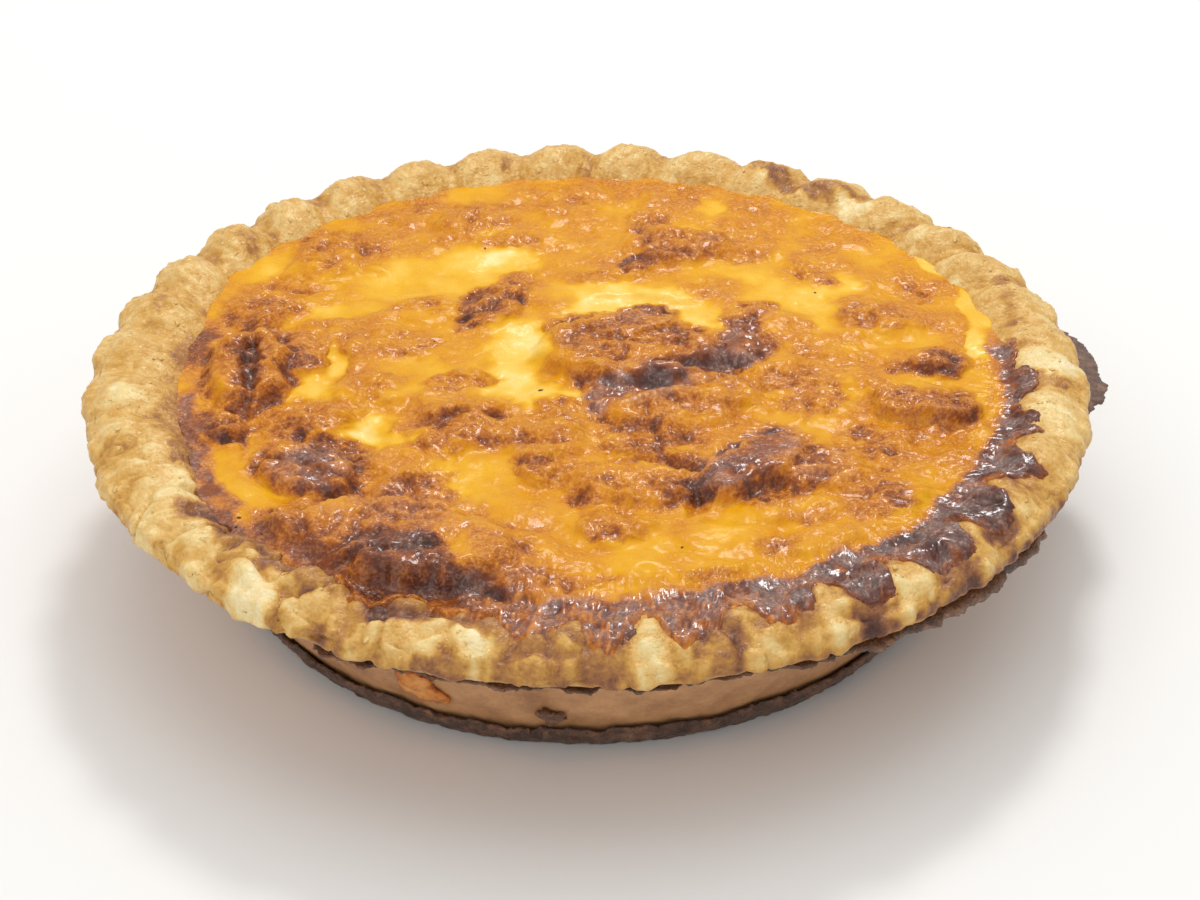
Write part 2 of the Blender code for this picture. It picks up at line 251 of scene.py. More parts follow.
fillingSpots = [
    (-10, 72, 30, 14, 0, .53, .9), (48, 58, 24, 15, -40, .50, .9), (-60, 44, 18, 14, 60, .52, .9),
    (62, 20, 18, 22, 0, .49, .9), (-35, 6, 22, 14, 0, .46, .9), (0, 60, 26, 12, 0, .46, .9),
    (40, -28, 36, 30, 0, .53, .9), (-64, 0, 16, 34, 0, .55, .8), (-32, -12, 20, 14, 0, .50, .9),
    (25, -61, 32, 13, 8, .45, .8), (-62, -48, 9, 20, 25, .37, .6), (-20, -45, 16, 10, 0, .41, .8),
    # pale places, where the egg has not browned
    (-33, 37, 16, 10, 10, .27, .8), (-20, 44, 10, 6, 0, .19, .7), (-19, 46, 3.5, 4, 0, .07, .9),
    (-26, 77, 7, 5, 0, .38, .6), (2, 30, 14, 5, 0, .30, .8), (35, 33, 14, 6, -30, .31, .8),
    (13, 27, 14, 4.5, -8, .17, .7), (3, 24, 8, 3.5, 15, .10, .8), (23, 20, 8, 4, -60, .18, .7),
    (47, 24, 10, 4, 110, .27, .8), (52, 34, 6, 3.5, 60, .22, .8), (26, 70, 5, 3, 90, .27, .9),
    (-14, 5, 14, 6.5, 80, .17, .7), (-14, 6, 8, 4, 80, .07, .8), (-15, -8, 6, 6, 0, .10, .8),
    (-8, -13, 8, 4.5, -25, .14, .7), (-50, 3, 7, 2.6, 95, .13, .8), (-54, -7, 6, 4.5, 45, .28, .8),
    (-43, -24, 7, 4, -50, .17, .8), (-43.5, -24, 5, 2.2, -52, .02, .7), (-37, -28, 4, 2.5, 20, .20, .8),
    (-51, 23, 9, 3.5, 10, .29, .8), (-68, 45, 10, 5, 50, .34, .7), (-36, -4, 8, 7, 0, .36, .8),
    (-20, -39, 9, 4, 0, .40, .8), (-13, -51, 11, 5, -20, .40, .8), (-28, -37, 2.4, 3, 0, .22, .8),
    (-76.5, 10, 6, 1.6, 80, .22, .7), (74, 44, 9, 2.6, 125, .20, .6), (79, 28, 12, 2.4, 100, .24, .6),
    (79.5, 12, 7, 2.2, 95, .13, .6), (77.5, -9, 9, 2.4, 88, .36, .6), (67, -3, 12, 2.6, 4, .41, .6),
    (45, -24, 10, 5, -20, .42, .8), (58, -50, 8, 5, 40, .39, .8), (30, -57, 12, 5, 0, .41, .8),
    (15, -65, 9, 4, 0, .40, .8), (-62, -50, 4.5, 13, 28, .34, .7), (-60, 53, 6, 3, 50, .40, .7),
    (60, 50, 8, 5, 50, .40, .9), (64, 12, 8, 4, 20, .40, .8),
    # orange to tan
    (-56, 52, 7, 9, 10, .62, .85), (-56, 43, 3.5, 5, 10, .66, .95), (-47, 48, 5, 10, 10, .55, .8),
    (-46, 66, 4, 3.5, 0, .60, .8), (-36, 72, 2.2, 5, -15, .60, .8), (-25, 64, 8, 5, 20, .62, .95),
    (-15, 54, 7, 3.2, 0, .61, .95), (-5, 76, 7, 10, 0, .56, .8), (-31, 53, 4, 3, 0, .56, .9),
    (-15, 34, 4, 4.5, 60, .52, .8), (-34, 24, 6, 3.6, 10, .62, .85), (-64, 34, 10, 6, 20, .58, .8),
    (-45, 10, 6, 7, 0, .57, .9), (-37, 8, 6, 5, 0, .60, .9), (-50, 18, 4, 2.4, 0, .58, .8),
    (-67, 24, 8, 5.5, 10, .72, .85), (-67.5, 19, 3.5, 4, 0, .79, .95), (-72, 24, 4, 3, 0, .64, .95),
    (2, 36, 5, 3.2, 0, .62, .95), (20, 79, 8, 3, -10, .60, .7), (36, 77, 7, 4, -25, .56, .7),
    (13, 64, 5, 3, 0, .66, .85), (13, 57, 3.4, 8, -8, .68, .75), (21, 52, 9, 6.5, -10, .70, .65),
    (25, 54, 5, 4, 0, .76, .85), (32, 48, 6, 4, 0, .57, .8), (47, 40, 8, 2.4, -62, .60, .8),
    (66, 40, 6, 4, 0, .50, .8), (70, 33, 6, 3.4, 20, .63, .85), (58, 22, 7, 4.6, 10, .63, .95),
    (54, 24, 2.2, 2.4, 0, .72, 1.0), (60, 19, 3.6, 2.4, 0, .68, .95), (35, 23, 4, 2.8, 0, .68, .85),
    (27, 33, 7, 5, 0, .50, .9), (45, 5, 4, 12, 10, .55, .8), (54, -4, 6, 5, 0, .56, .8),
    # the browned plateau in the middle
    (9, 9, 17, 11, -12, .70, .4), (11, 19, 9, 4.5, 6, .72, .4), (-3, 12, 5, 8, 5, .73, .45),
    (11, 21, 6, 3, 5, .78, .75), (17, 12, 5, 5, 0, .76, .95), (3, 1, 7, 7, 0, .68, .65), (1, -6, 5, 7, 0, .66, .75),
    (14, 4, 5, 4, 0, .64, 1.0), (22, 3, 5, 4, 0, .74, .95), (31, 14, 5, 6.5, -20, .84, .75),
    (33, 8, 6, 4.5, 30, .88, .75), (27, 2, 9, 4.2, 8, .92, .65), (22, -3, 5, 3, 30, .91, .85),
    (10.5, -8.5, 12.5, 6.6, 34, .91, .6), (7, -13, 5, 4, 20, .89, .85), (4, -15, 5, 4, 0, .85, .95),
    (26, -6, 8, 5, 10, .67, .65), (19, -14, 12, 6, 10, .70, .65), (36, -6, 6, 6, 0, .62, .85),
    (43, -8, 3.6, 10, 0, .66, .85), (48, -12, 1.7, 7, -5, .76, .95), (7, -22, 9, 5, 0, .68, .85),
    (14, -27, 10, 4, 0, .66, .85), (-8, -24, 8, 7, 20, .61, .75), (2, -26, 3, 3, 0, .52, .8),
    (12, -33, 9, 2.8, -22, .81, .75), (18, -36, 4, 3, 0, .82, .85), (9, -41, 11, 5.5, 0, .62, .75),
    (3, -44, 3, 5, 0, .69, .95), (12, -48, 8, 3.2, 0, .68, .95), (18, -45, 5, 3.6, 30, .82, .75),
    # the dark ridge at the right
    (44, -36, 9, 6, 20, .76, .75), (35, -44, 8, 5, 20, .72, .85), (31, -34, 13, 5, 45, .89, .5),
    (25, -41, 6, 4, 60, .90, .75), (22, -46, 2.4, 4, -20, .88, .85), (45, -31, 6, 1.8, -20, .78, .95),
    (56, -27, 9, 6, 20, .62, 1.0), (56, -31, 3, 2, 0, .74, 1.0), (52, -40, 6, 5, 0, .58, .9),
    (52, -50, 5, 3, 20, .55, .9), (66, -12, 11, 5, -5, .70, .65), (73, -13, 4, 6, 0, .78, .85),
    (60, -9, 4, 3, 0, .75, .95), (71, -19, 4, 2, 0, .72, .95), (58, -44, 2.6, 4, 0, .82, .95),
    (71, 4, 5.5, 5, 20, .82, .75), (70, 0.5, 5, 2, 10, .87, .95), (62, 2, 4, 2.2, 0, .70, .95),
    (-20, 25, 9.5, 4.5, 68, .82, .6), (-22, 21, 4, 3, 40, .86, .95), (-23, 16.5, 4, 2.2, 20, .72, .95),
    (-16, 28, 3, 5, 0, .74, 1.0), (12, 44, 7.5, 3.2, 38, .84, .65), (9, 42, 3.6, 2.6, 20, .86, .95),
    # front
    (5, -57, 6, 5, 0, .67, .95), (5, -61, 4, 2, 0, .77, 1.0), (36, -62, 4, 2.6, 0, .62, .95),
    (22, -70, 5, 2, -10, .62, .95), (2, -73, 5, 2, 0, .60, .8), (42, -52, 5, 3, 0, .55, .9),
    (-9, -36, 4.4, 4.4, 0, .81, .75), (-3, -41, 6, 4, 0, .62, .95), (0, -46, 4, 4, 0, .67, .95),
    (-32, -41, 6, 5, 0, .77, .85), (-28, -30, 5, 3.5, -50, .77, .85), (-24, -20, 8, 6, 0, .67, .95),
    (-25, -7, 8, 3, 5, .60, .5), (-23, -25, 9, 5, 0, .64, .95), (-5, -16, 5, 3, -30, .68, .85),
    (-35, -35, 8, 5, 0, .52, .8), (-46, -14, 4, 5, 0, .60, .9), (-43, -7, 5, 6, 0, .60, .9),
    (-52, -18, 7, 6, -30, .66, .85), (-57, -23, 4.5, 3.4, 0, .78, .85), (-64, -20, 4, 4, 0, .60, .8),
    # the browned clump at the left
    (-68, 4, 9, 11, 10, .68, .55), (-70, -12, 8, 9, 0, .64, .65), (-61, 10, 5, 4, 0, .76, .95),
    (-62, -5, 4.5, 6.5, 0, .79, .75), (-66, -13, 6, 4.5, 0, .77, .85), (-57, 3, 3.8, 3.2, 0, .84, .85),
    (-67, 4, 6, 8, 10, .80, .9), (-74, -20, 5, 4, -20, .84, .8), (-77, -31, 2.4, 8, 22, .84, .8),
    (-67.5, 2, 2.6, 6.5, 5, .89, .75), (-68, -6, 2, 6, 10, .88, .95), (-76, -5, 2.4, 5, 0, .76, .95),
    (-72, -21, 5.5, 4.5, 0, .80, .75), (-72, -24, 5, 2, -20, .89, .85), (-67, -23, 1.3, 7, 10, .83, .95),
    (-77, -12, 2, 4, 0, .56, .8), (-70, 11, 5, 2, 20, .80, .95),
    # the scorched hump behind it, and the big hump at the front left, whose dark front face is partly burnt and partly
    # painted shade
    (-52, -36, 10, 8.5, -25, .78, .65), (-51, -35, 6.5, 7, -25, .89, .75), (-49, -42, 5, 3.6, 0, .85, .95),
    (-57, -41, 3, 3, 0, .58, .9), (-58, -30, 4, 2.4, 20, .76, .95), (-45, -33, 4, 5, 0, .78, .95),
    (-38, -54, 20, 9, -6, .66, .55), (-36, -64, 18, 9, -10, .74, .55), (-31, -47, 8, 2.6, -12, .77, .85),
    (-46, -47, 6, 2.2, 8, .60, .8), (-53, -56, 3.4, 6, 15, .82, .75), (-50, -63, 5, 4, 0, .76, .95),
    (-45, -65, 5, 4, 0, .86, .85), (-34, -62, 9, 6.5, -12, .95, .65), (-40, -61, 4, 3, 0, .92, .85),
    (-29, -67, 5, 4, -30, .95, .75), (-24, -70, 4, 3, 0, .92, .85), (-14, -66, 10, 8.5, 0, .70, .75),
    (-37, -67, 14, 6.5, -8, .90, .7), (-33, -65, 9, 6, 0, 1.02, .8), (-47, -66, 9, 5, -42, .88, .8),
    (-24, -73, 10, 4, -14, .90, .8), (-55, -57, 4, 8, 35, .80, .8),
    (-22, -61, 2, 5.5, 5, .50, .8), (-5, -63, 4, 6, 0, .45, .8), (-9, -74, 8, 3, 0, .72, .95),
    (-25, -76, 13, 4.5, -5, .90, .65), (-36, -77, 6, 5, 0, .95, .75), (-22, -79, 5, 4, 0, .82, .95),
    (-6, -82, 7, 4, 0, .66, .85), (-15, -82, 5, 3, 0, .82, .95),
]

# Humps and hollows: x, y, half length, half width (mm), turn, rise (mm), softness of the edge
fillingHumps = [
    (8, 6, 18, 12, -12, 1.6, .22), (10, 16, 10, 5, 6, 0.8, .25), (11, -9, 11, 5, 34, 0.7, .5),
    (26, 1.5, 9, 2.2, 8, -1.1, .9), (27, -8, 9, 6, 10, 0.8, .5), (18, -15, 12, 6, 10, 0.7, .6),
    (12, -34, 9, 2.4, -22, -1.1, .9), (9, -42, 12, 6, 0, 1.2, .5), (22, -46, 2, 5, -20, -1.2, .9),
    (31, -37, 13, 5.5, 45, 2.4, .4), (45, -38, 9, 6, 20, 1.2, .5), (45, -31, 6, 1.6, -20, -0.7, .9),
    (66, -14, 11, 6, -5, 1.7, .25), (58, 21, 11, 8, 10, 0.8, .8), (71, 4, 6.5, 5, 20, 0.9, .6),
    (19, 53, 11, 8, -10, 1.1, .5), (12, 43, 7, 3, 38, 0.5, .6), (-68, 0, 8, 14, 5, 2.0, .35),
    (-67, -2, 1.6, 14, 6, -1.1, .9), (-57, 3, 4.5, 4.5, 0, 0.8, .6), (-72, -21, 5.5, 5, 0, 1.3, .5),
    (-52, -38, 10, 7, -25, 1.8, .35), (-35, -35, 8, 6, 0, 1.0, .7), (-36, -62, 22, 12, -8, 2.1, .36),
    (-36, -57, 15, 5, -6, 0.4, .6), (-30, -76.5, 19, 2.4, -8, -1.5, .9),
    (-22, -80, 6, 4.5, 0, 1.2, .6), (-37, -79, 6, 4.5, 0, 1.2, .6), (-14, -66, 10, 8, 0, 0.9, .7),
    (-20, 25, 9, 5, 68, 0.8, .6), (-25, -12, 9, 7, 0, 0.9, .4), (-24, -23, 9, 6, 0, 0.8, .7),
    (-43, -8, 7, 7, 0, 0.9, .7), (-8, -27, 8, 7, 0, 0.9, .5), (-9, -36, 4.5, 4.5, 0, 0.7, .7),
    (-52, -18, 8, 6, -30, 0.8, .6), (35, 21, 8, 6, 0, 0.6, .8), (5, -58, 7, 5, 0, 0.8, .7),
    (25, -60, 9, 5, 0, 0.5, .8), (20, -69, 11, 3, 0, 0.6, .8), (42, -61, 10, 4, 25, 0.7, .8),
    (58, -45, 7, 6, 40, 0.9, .7), (-56, 48, 7, 10, 10, 0.8, .7), (-25, 63, 8, 6, 20, 0.7, .8),
    (-14, 54, 8, 4, 0, 0.6, .7), (-3, 72, 8, 9, 0, 0.5, .9), (-67, 25, 8, 7, 10, 0.9, .7),
    (-14, 2, 6, 14, -10, -0.7, .9), (12, 27, 14, 4, -8, -0.6, .9), (-43, -24, 6, 3, -50, -0.6, .9),
    (-50, 3, 3, 7, 0, -0.5, .9), (-26, 38, 18, 8, 10, -0.4, 1.0), (48, 25, 9, 3, 110, -0.5, .9),
    (3, -6, 4, 6, 0, 0.6, .7), (-34, 24, 7, 4, 10, 0.5, .8), (36, 5, 6, 8, 20, 0.7, .6),
    (-62, -50, 5, 14, 28, 0.6, .8), (38, -50, 10, 4, 10, 0.6, .8),
]

# Where the browned skin is smooth and shines: as the spots, with how much it shines in place of the browning. The shine
# is partly a glossier coat and partly a painted sheen, a lilac-grey highlight mixed into the base colour.
glossySpots = [
    (10, -8, 12.5, 6.5, 34, 1.0, .8), (27, 2, 9, 4, 8, .80, .8), (31, 12, 5, 5, 0, .55, .9), (11, 21, 6, 3, 5, .35, .9),
    (31, -34, 13, 5, 45, .65, .7), (46, -36, 7, 4, 20, .35, .9), (-52, -36, 8, 7, -25, .55, .9),
    (-34, -62, 9, 6, -12, .35, .9), (-36, -50, 16, 5, -6, .25, .9), (-26, -76, 12, 4, -5, .30, .9),
    (-15, -74, 9, 5, 0, .40, .9),
]

# Where the filling ran over the rim: angle and half width (degrees), and how far out (mm)
fingers = [
    (-144, 3.4, 87.0), (-135, 4.2, 89.0), (-125.8, 3.8, 89.0),
    (-116, 4.8, 91.5), (-104.8, 4.2, 90.0), (-96, 4.4, 93.5), (-87, 3.8, 95.5), (-77.7, 4.8, 95.8),
    (-66.8, 4.4, 94.5), (-56.3, 4.0, 97.2), (-45.5, 5.2, 99.0), (-35.5, 4.6, 96.8), (-24.5, 4.4, 94.0),
    (-14.8, 3.8, 90.0), (-3.4, 3.6, 89.4), (6, 3.2, 87.6),
]

# Browning of the crust, in the same terms: 0 cream, 0.4 golden, 0.7 brown, 1 burnt. Some dark ones lie in the crust's
# recesses, such as the one at (88, 35), and are painted shade.
crustSpots = [
    (38, 86, 4, 6, 30, .58, .8), (42, 80, 6, 2.6, -40, .80, .8), (50, 74, 4, 2.2, -30, .76, .8),
    (58, 73.5, 6, 1.6, -20, .70, .8), (57, 68, 4, 3, -40, .12, .8), (-19, 87, 1.6, 4, 0, .60, .8),
    (88, 35, 5, 2.2, 20, .72, .8), (86, 24, 2, 5, 0, .62, .9), (86, 18, 4, 1.8, 20, .64, .9),
    (86, 8, 5, 1.8, -5, .68, .9), (84, 14, 2, 6, 10, .60, .9), (92, 0, 5, 7, 0, .16, .9),
    (86, -5, 5, 4, 0, .76, .7), (93, -6, 4, 1.6, 10, .62, .9), (84, -20, 3, 5, 0, .78, .7),
    (80, -38, 4, 6, 20, .78, .6), (74, -55, 4, 7, 20, .78, .6), (68, -72, 4, 9, 25, .80, .6),
    (63, -82, 6, 3, 35, .72, .8), (50, -80, 3.4, 6, 10, .78, .6), (43, -86, 3, 5, 0, .28, .8),
    (36, -88, 6, 3, 0, .62, .8), (25, -95, 2.4, 6, 0, .78, .7), (24, -90, 4, 5, 0, .78, .8),
    (4, -95, 5, 5, 0, .74, .7), (12, -96, 3.4, 6, 0, .20, .8), (-8, -92, 8, 5, 0, .76, .7),
    (-8, -100, 9, 4, 0, .72, .8), (-20, -93, 4, 3, 0, .18, .7), (-27, -98, 9, 5, 0, .76, .7),
    (-28, -92, 4, 3, 0, .30, .7), (-47, -90, 4, 5, 20, .74, .7), (-35, -84, 5, 4, 0, .30, .7),
    (-55, -84, 3.4, 3, 0, .64, .9), (-63, -62, 7, 4, -40, .77, .6), (-71, -52, 5, 4.5, -50, .80, .6),
    (-52, -71, 8, 4, -40, .82, .6), (-67, -73, 3, 5, 10, .58, .8), (-58, -78, 5, 5, 0, .22, .8),
    (-72, -60, 5, 4, 0, .26, .8), (-78, -45, 6, 5, 60, .22, .8), (-81, -20, 3, 9, 10, .66, .6),
    (-80, 8, 3, 6, 0, .68, .6), (-70, 52, 6, 2.4, 60, .62, .8), (-88, 27, 3, 5, 0, .56, .9),
    (-92, -12, 3, 3, 0, .24, .9), (-90, -30, 4, 3, 0, .55, .9), (90, -20, 4, 8, -10, .24, .9),
    (83, -45, 3, 5, 20, .52, .9), (57, -78, 4, 5, 20, .24, .8), (33, -97, 6, 4, 0, .45, .8),
    (48, -96, 8, 3, 30, .70, .8), (20, -101, 12, 2.6, 6, .50, .9), (-30, -83, 9, 4, 8, .84, .7),
    (-44, -76, 7, 4, -30, .84, .7), (-14, -88, 10, 3, 0, .76, .8), (-60, -62, 8, 2.6, -46, .82, .7),
    (-76, -32, 9, 2.2, -70, .82, .7), (-79.5, -14, 7, 1.8, -82, .80, .7),
]


crookedness = [(1.7, 8), (0.9, 3.4), (0.5, 1.6)]  # how far (mm) the outlines of the spots wander, and in what steps


def browningFrom(spots, x, y, start, seed):  # lays the spots on one after the other, with broken edges
    points = place(x, y)
    warpX, warpY = (values + noises(points, *((size, reach, first + k) for k, (size, reach) in enumerate(crookedness)))
                    for values, first in ((x, seed + 20), (y, seed + 30)))
    browning = start
    for cx, cy, length, width, turn, level, soft in spots:
        browning = mix(browning, level, inBlob(warpX, warpY, (cx, cy, length, width, turn, soft)))
    return browning


def fillingReach(angle):  # how far out the filling's skin reaches, in metres
    base = 85.6 - 4.2 * broadRim(angle)
    reach = base + 1.8 * boiledOver(angle)
    for middle, half, far in fingers:
        across = np.clip(1 - (degreesOff(angle, middle) / half) ** 2, 0, 1)
        reach = np.maximum(reach, base + (far - 85.6) * across ** 0.6)
    return (reach + boiledOver(angle) * noises(around(angle, 90), (1.3, 5, 41), (0.9, 2.1, 42))) * mm


# Meshes, and what each piece stands for

def newObject(name, data):
    made = bpy.data.objects.new(name, data)
    bpy.context.scene.collection.objects.link(made)
    return made


def standsFor(piece, node):
    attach(piece, "root")
    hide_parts(node)
    print(piece.name, len(piece.data.vertices), "points")
    return piece


def finishMesh(name, points, faces, attributes, material):
    mesh = bpy.data.meshes.new(name)
    mesh.from_pydata(points.reshape(-1, 3).tolist(), [], [list(face) for face in faces])
    for key, values in attributes.items():
        mesh.attributes.new(key, "FLOAT", "POINT").data.foreach_set("value", values.ravel().astype(np.float32))
    shape = bmesh.new()
    shape.from_mesh(mesh)
    bmesh.ops.recalc_face_normals(shape, faces=shape.faces)
    shape.to_mesh(mesh)
    shape.free()
    mesh.shade_smooth()
    mesh.materials.append(material)
    return newObject(name, mesh)


def joined(a, b):  # quads between two closed rings, given as the numbers of their points
    return np.stack([a, np.roll(a, -1), np.roll(b, -1), b], -1).tolist()


def ringNumbers(rows, columns, first=0):  # the numbers of the points of rings laid down one after the other
    return first + np.arange(rows * columns).reshape(rows, columns)


def ringFaces(rings):
    return [face for inner, outer in zip(rings, rings[1:]) for face in joined(inner, outer)]


def fan(ring, middle):  # triangles from a ring to a point in its middle
    return [(a, b, middle) for a, b in zip(ring.tolist(), np.roll(ring, -1).tolist())]


def gridFaces(grid):
    return np.stack([grid[:-1, :-1], grid[:-1, 1:], grid[1:, 1:], grid[1:, :-1]], -1).reshape(-1, 4).tolist()


def borderOf(grid):  # the rim of a square grid, in order
    return np.concatenate([grid[0, :-1], grid[:-1, -1], grid[-1, :0:-1], grid[:0:-1, 0]])


def roundGrid(cellsAcross):  # a square grid bent into a disc of radius 1, with cells of equal area
    t = np.linspace(-1, 1, cellsAcross + 1)
    u, v = np.meshgrid(t, t)
    flat = np.abs(u) > np.abs(v)
    with np.errstate(divide="ignore", invalid="ignore"):
        radius = np.where(flat, u, v)
        turn = np.nan_to_num(np.where(flat, pi / 4 * v / u, pi / 2 - pi / 4 * u / v))
    return np.abs(radius), np.arctan2(radius * np.sin(turn), radius * np.cos(turn))


# Shader and geometry trees

class Wire:  # an output of a node, on which plain sums add Math nodes
    def __init__(self, tree, socket):
        self.tree, self.socket = tree, socket

    def sum(self, operation, a, b):
        return self.tree.add("ShaderNodeMath", {"operation": operation}, {0: a, 1: b})

    def __add__(self, other): return self.sum("ADD", self, other)
    def __radd__(self, other): return self.sum("ADD", other, self)
    def __sub__(self, other): return self.sum("SUBTRACT", self, other)
    def __rsub__(self, other): return self.sum("SUBTRACT", other, self)
    def __mul__(self, other): return self.sum("MULTIPLY", self, other)
    def __rmul__(self, other): return self.sum("MULTIPLY", other, self)
    def __pow__(self, other): return self.sum("POWER", self, other)

    def clamped(self, low=0.0, high=1.0):
        return self.sum("MINIMUM", self.sum("MAXIMUM", self, low), high)

    def between(self, low, high):  # 0 at low, 1 at high, smooth
        return self.tree.add("ShaderNodeMapRange", {"interpolation_type": "SMOOTHSTEP"},
                             {"Value": self, "From Min": low, "From Max": high})

    def beside(self, key):  # another output of the same node
        return Wire(self.tree, self.socket.node.outputs[key])


class Tree:
    def __init__(self, tree):
        self.tree = tree

    def plug(self, node, inputs):
        for key, value in inputs.items():
            if isinstance(value, Wire):
                self.tree.links.new(value.socket, node.inputs[key])
            else:
                node.inputs[key].default_value = value

    def add(self, kind, settings=None, inputs=None, output=0):
        node = self.tree.nodes.new(kind)
        for key, value in (settings or {}).items():
            if key == "stops":
                ramp = node.color_ramp
                for _ in value[2:]:
                    ramp.elements.new(0.5)
                for stop, (at, code) in zip(ramp.elements, value):
                    stop.position, stop.color = at, fromHex(code)
            else:
                setattr(node, key, value)
        self.plug(node, inputs or {})
        return Wire(self, node.outputs[output]) if node.outputs else None

    def attribute(self, name):
        return self.add("ShaderNodeAttribute", {"attribute_name": name}, output="Fac")

    def noise(self, at, size, detail=1.0, roughness=0.5):
        return self.add("ShaderNodeTexNoise", None, {"Vector": at, "Scale": 1 / size, "Detail": detail,
                                                     "Roughness": roughness})

    def mixColour(self, factor, a, b):
        return self.add("ShaderNodeMix", {"data_type": "RGBA"}, {0: factor, 6: a, 7: b}, output=2)

    def ramp(self, value, stops):
        return self.add("ShaderNodeValToRGB", {"stops": stops}, {0: value})

    def bump(self, height, distance):
        return self.add("ShaderNodeBump", None, {"Height": height, "Distance": distance, "Strength": 1.0})


def newMaterial(name):
    material = bpy.data.materials.new(name)
    material.use_nodes = True
    tree = Tree(material.node_tree)
    return material, tree, tree.add("ShaderNodeTexCoord", output="Object")


def finish(material, tree, inputs):
    tree.plug(material.node_tree.nodes["Principled BSDF"], inputs)
    return material


def fromHex(code):  # a screen colour as the linear numbers that a shader takes
    parts = [int(code[i:i + 2], 16) / 255 for i in (0, 2, 4)]
    return (*(c / 12.92 if c <= 0.04045 else ((c + 0.055) / 1.055) ** 2.4 for c in parts), 1)


# Finishes

custardLook = dict(
    browning=[(0.0, "F4DF9A"), (0.12, "F0C85A"), (0.28, "E8B024"), (0.42, "DC990C"), (0.54, "D08408"),
              (0.64, "C67810"), (0.74, "B26414"), (0.83, "8A4512"), (0.91, "602B14"), (1.0, "421F15")],
    sheenTone="C0A89E", glintTone="E8AE60", grainSize=1.25 * mm, fineSize=0.60 * mm, broadSize=5.5 * mm,
    bumpDepth=0.60 * mm, subsurface=0.06,
)


def custardMaterial():
    look = custardLook
    material, tree, at = newMaterial("browned_custard")
    browning, skin = tree.attribute("browning"), tree.attribute("skin")
    grain, fine = tree.noise(at, look["grainSize"]), tree.noise(at, look["fineSize"])
    broad = tree.noise(at, look["broadSize"], 4.0, 0.6)
    cooked, dark = browning.between(0.36, 0.66), browning.between(0.70, 0.86)
    mottle = (0.5 - grain) * (0.05 + 0.21 * cooked) + (0.5 - fine) * (0.02 + 0.14 * cooked) + (broad - 0.5) * 0.26
    mottle = mottle * (1 - dark * 0.40) * (1 - skin * 0.35)
    # painted glints: the peaks of the fine noise on browned egg are mixed towards a pale peach highlight colour
    specks = (fine + grain * 0.6).between(0.80, 0.96)
    colour = tree.mixColour(specks * cooked * (1 - skin) * (1 - dark * 0.6) * 0.22,
                            tree.ramp((browning + mottle).clamped(), look["browning"]), fromHex(look["glintTone"]))
    # painted sheen: where the skin attribute is, the base colour is mixed towards the lilac-grey sheenTone in broad
    # patches
    glints = (specks * 0.6 + 0.4) * skin * broad.between(0.40, 0.60) * 0.52
    height = grain * (0.20 + 0.80 * cooked) + fine * (0.04 + 0.30 * cooked)
    return finish(material, tree, {
        "Base Color": tree.mixColour(glints, colour, fromHex(look["sheenTone"])),
        "Roughness": (0.30 - 0.06 * cooked + (fine - 0.5) * 0.2).clamped(0.12, 0.6),
        "Normal": tree.bump(height * (1 - skin * 0.70), look["bumpDepth"]), "Specular IOR Level": 0.16,
        "Coat Weight": (0.03 + cooked * 0.25 + skin * 0.36).clamped(), "Coat Roughness": 0.14,
        "Subsurface Weight": look["subsurface"], "Subsurface Radius": (1.0, 0.45, 0.12),
        "Subsurface Scale": 1.2 * mm,
    })


pastryLook = dict(
    browning=[(0.0, "F3DFB0"), (0.20, "E9CE8E"), (0.38, "DDB268"), (0.52, "CC9A48"), (0.64, "B07A3C"),
              (0.76, "8A5838"), (0.87, "5E392B"), (1.0, "33211E")],
    wallColour="D8A473", wallBrown="92603E", grainSize=1.9 * mm, fineSize=0.7 * mm, broadSize=7 * mm,
    bumpDepth=0.70 * mm,
)


def pastryMaterial():
    look = pastryLook
    material, tree, at = newMaterial("baked_pastry")
    browning, wall = tree.attribute("browning"), tree.attribute("wall")
    grain, fine = tree.noise(at, look["grainSize"], 2.0, 0.55), tree.noise(at, look["fineSize"])
    broad = tree.noise(at, look["broadSize"], 4.0, 0.55)
    mottle = (grain - 0.5) * 0.30 + (fine - 0.5) * 0.12 + (broad - 0.5) * 0.34
    rim = tree.ramp((browning + mottle).clamped(), look["browning"])
    smear = (broad - 0.5) * 1.3 + (grain - 0.5) * 0.5 + (fine - 0.5) * 0.25 + browning
    side = tree.mixColour(smear.clamped(), fromHex(look["wallColour"]), fromHex(look["wallBrown"]))
    height = (grain * 0.75 + fine * 0.35) * ((1 - wall) * 0.86 + 0.14)
    return finish(material, tree, {
        "Base Color": tree.mixColour(wall, rim, side), "Roughness": (0.40 + (fine - 0.5) * 0.4).clamped(0.26, 0.9),
        "Normal": tree.bump(height, look["bumpDepth"]), "Specular IOR Level": 0.34, "Subsurface Weight": 0.05,
        "Subsurface Radius": (1.0, 0.5, 0.2), "Subsurface Scale": 0.8 * mm,
    })


burntLook = dict(
    tones=[(0.0, "35241C"), (0.35, "543A2C"), (0.65, "7C5842"), (1.0, "AA8462")],
    grainSize=2.0 * mm, fineSize=0.7 * mm, bumpDepth=0.8 * mm,
)


def burntMaterial():
    look = burntLook
    material, tree, at = newMaterial("burnt_custard")
    grain, fine = tree.noise(at, look["grainSize"], 4.0, 0.65), tree.noise(at, look["fineSize"], 2.0, 0.6)
    tone = tree.attribute("browning") + (grain - 0.5) * 0.9 + (fine - 0.5) * 0.5
    return finish(material, tree, {
        "Base Color": tree.ramp(tone.clamped(), look["tones"]),
        "Roughness": (0.38 + (fine - 0.5) * 0.5).clamped(0.2, 0.9),
        "Normal": tree.bump(grain + fine * 0.5, look["bumpDepth"]), "Specular IOR Level": 0.5,
    })


cheeseLook = dict(tones=[(0.0, "E8B070"), (0.35, "DE8E38"), (0.6, "C06A24"), (1.0, "6E3A1E")],
                  grainSize=1.6 * mm, bumpDepth=0.5 * mm)


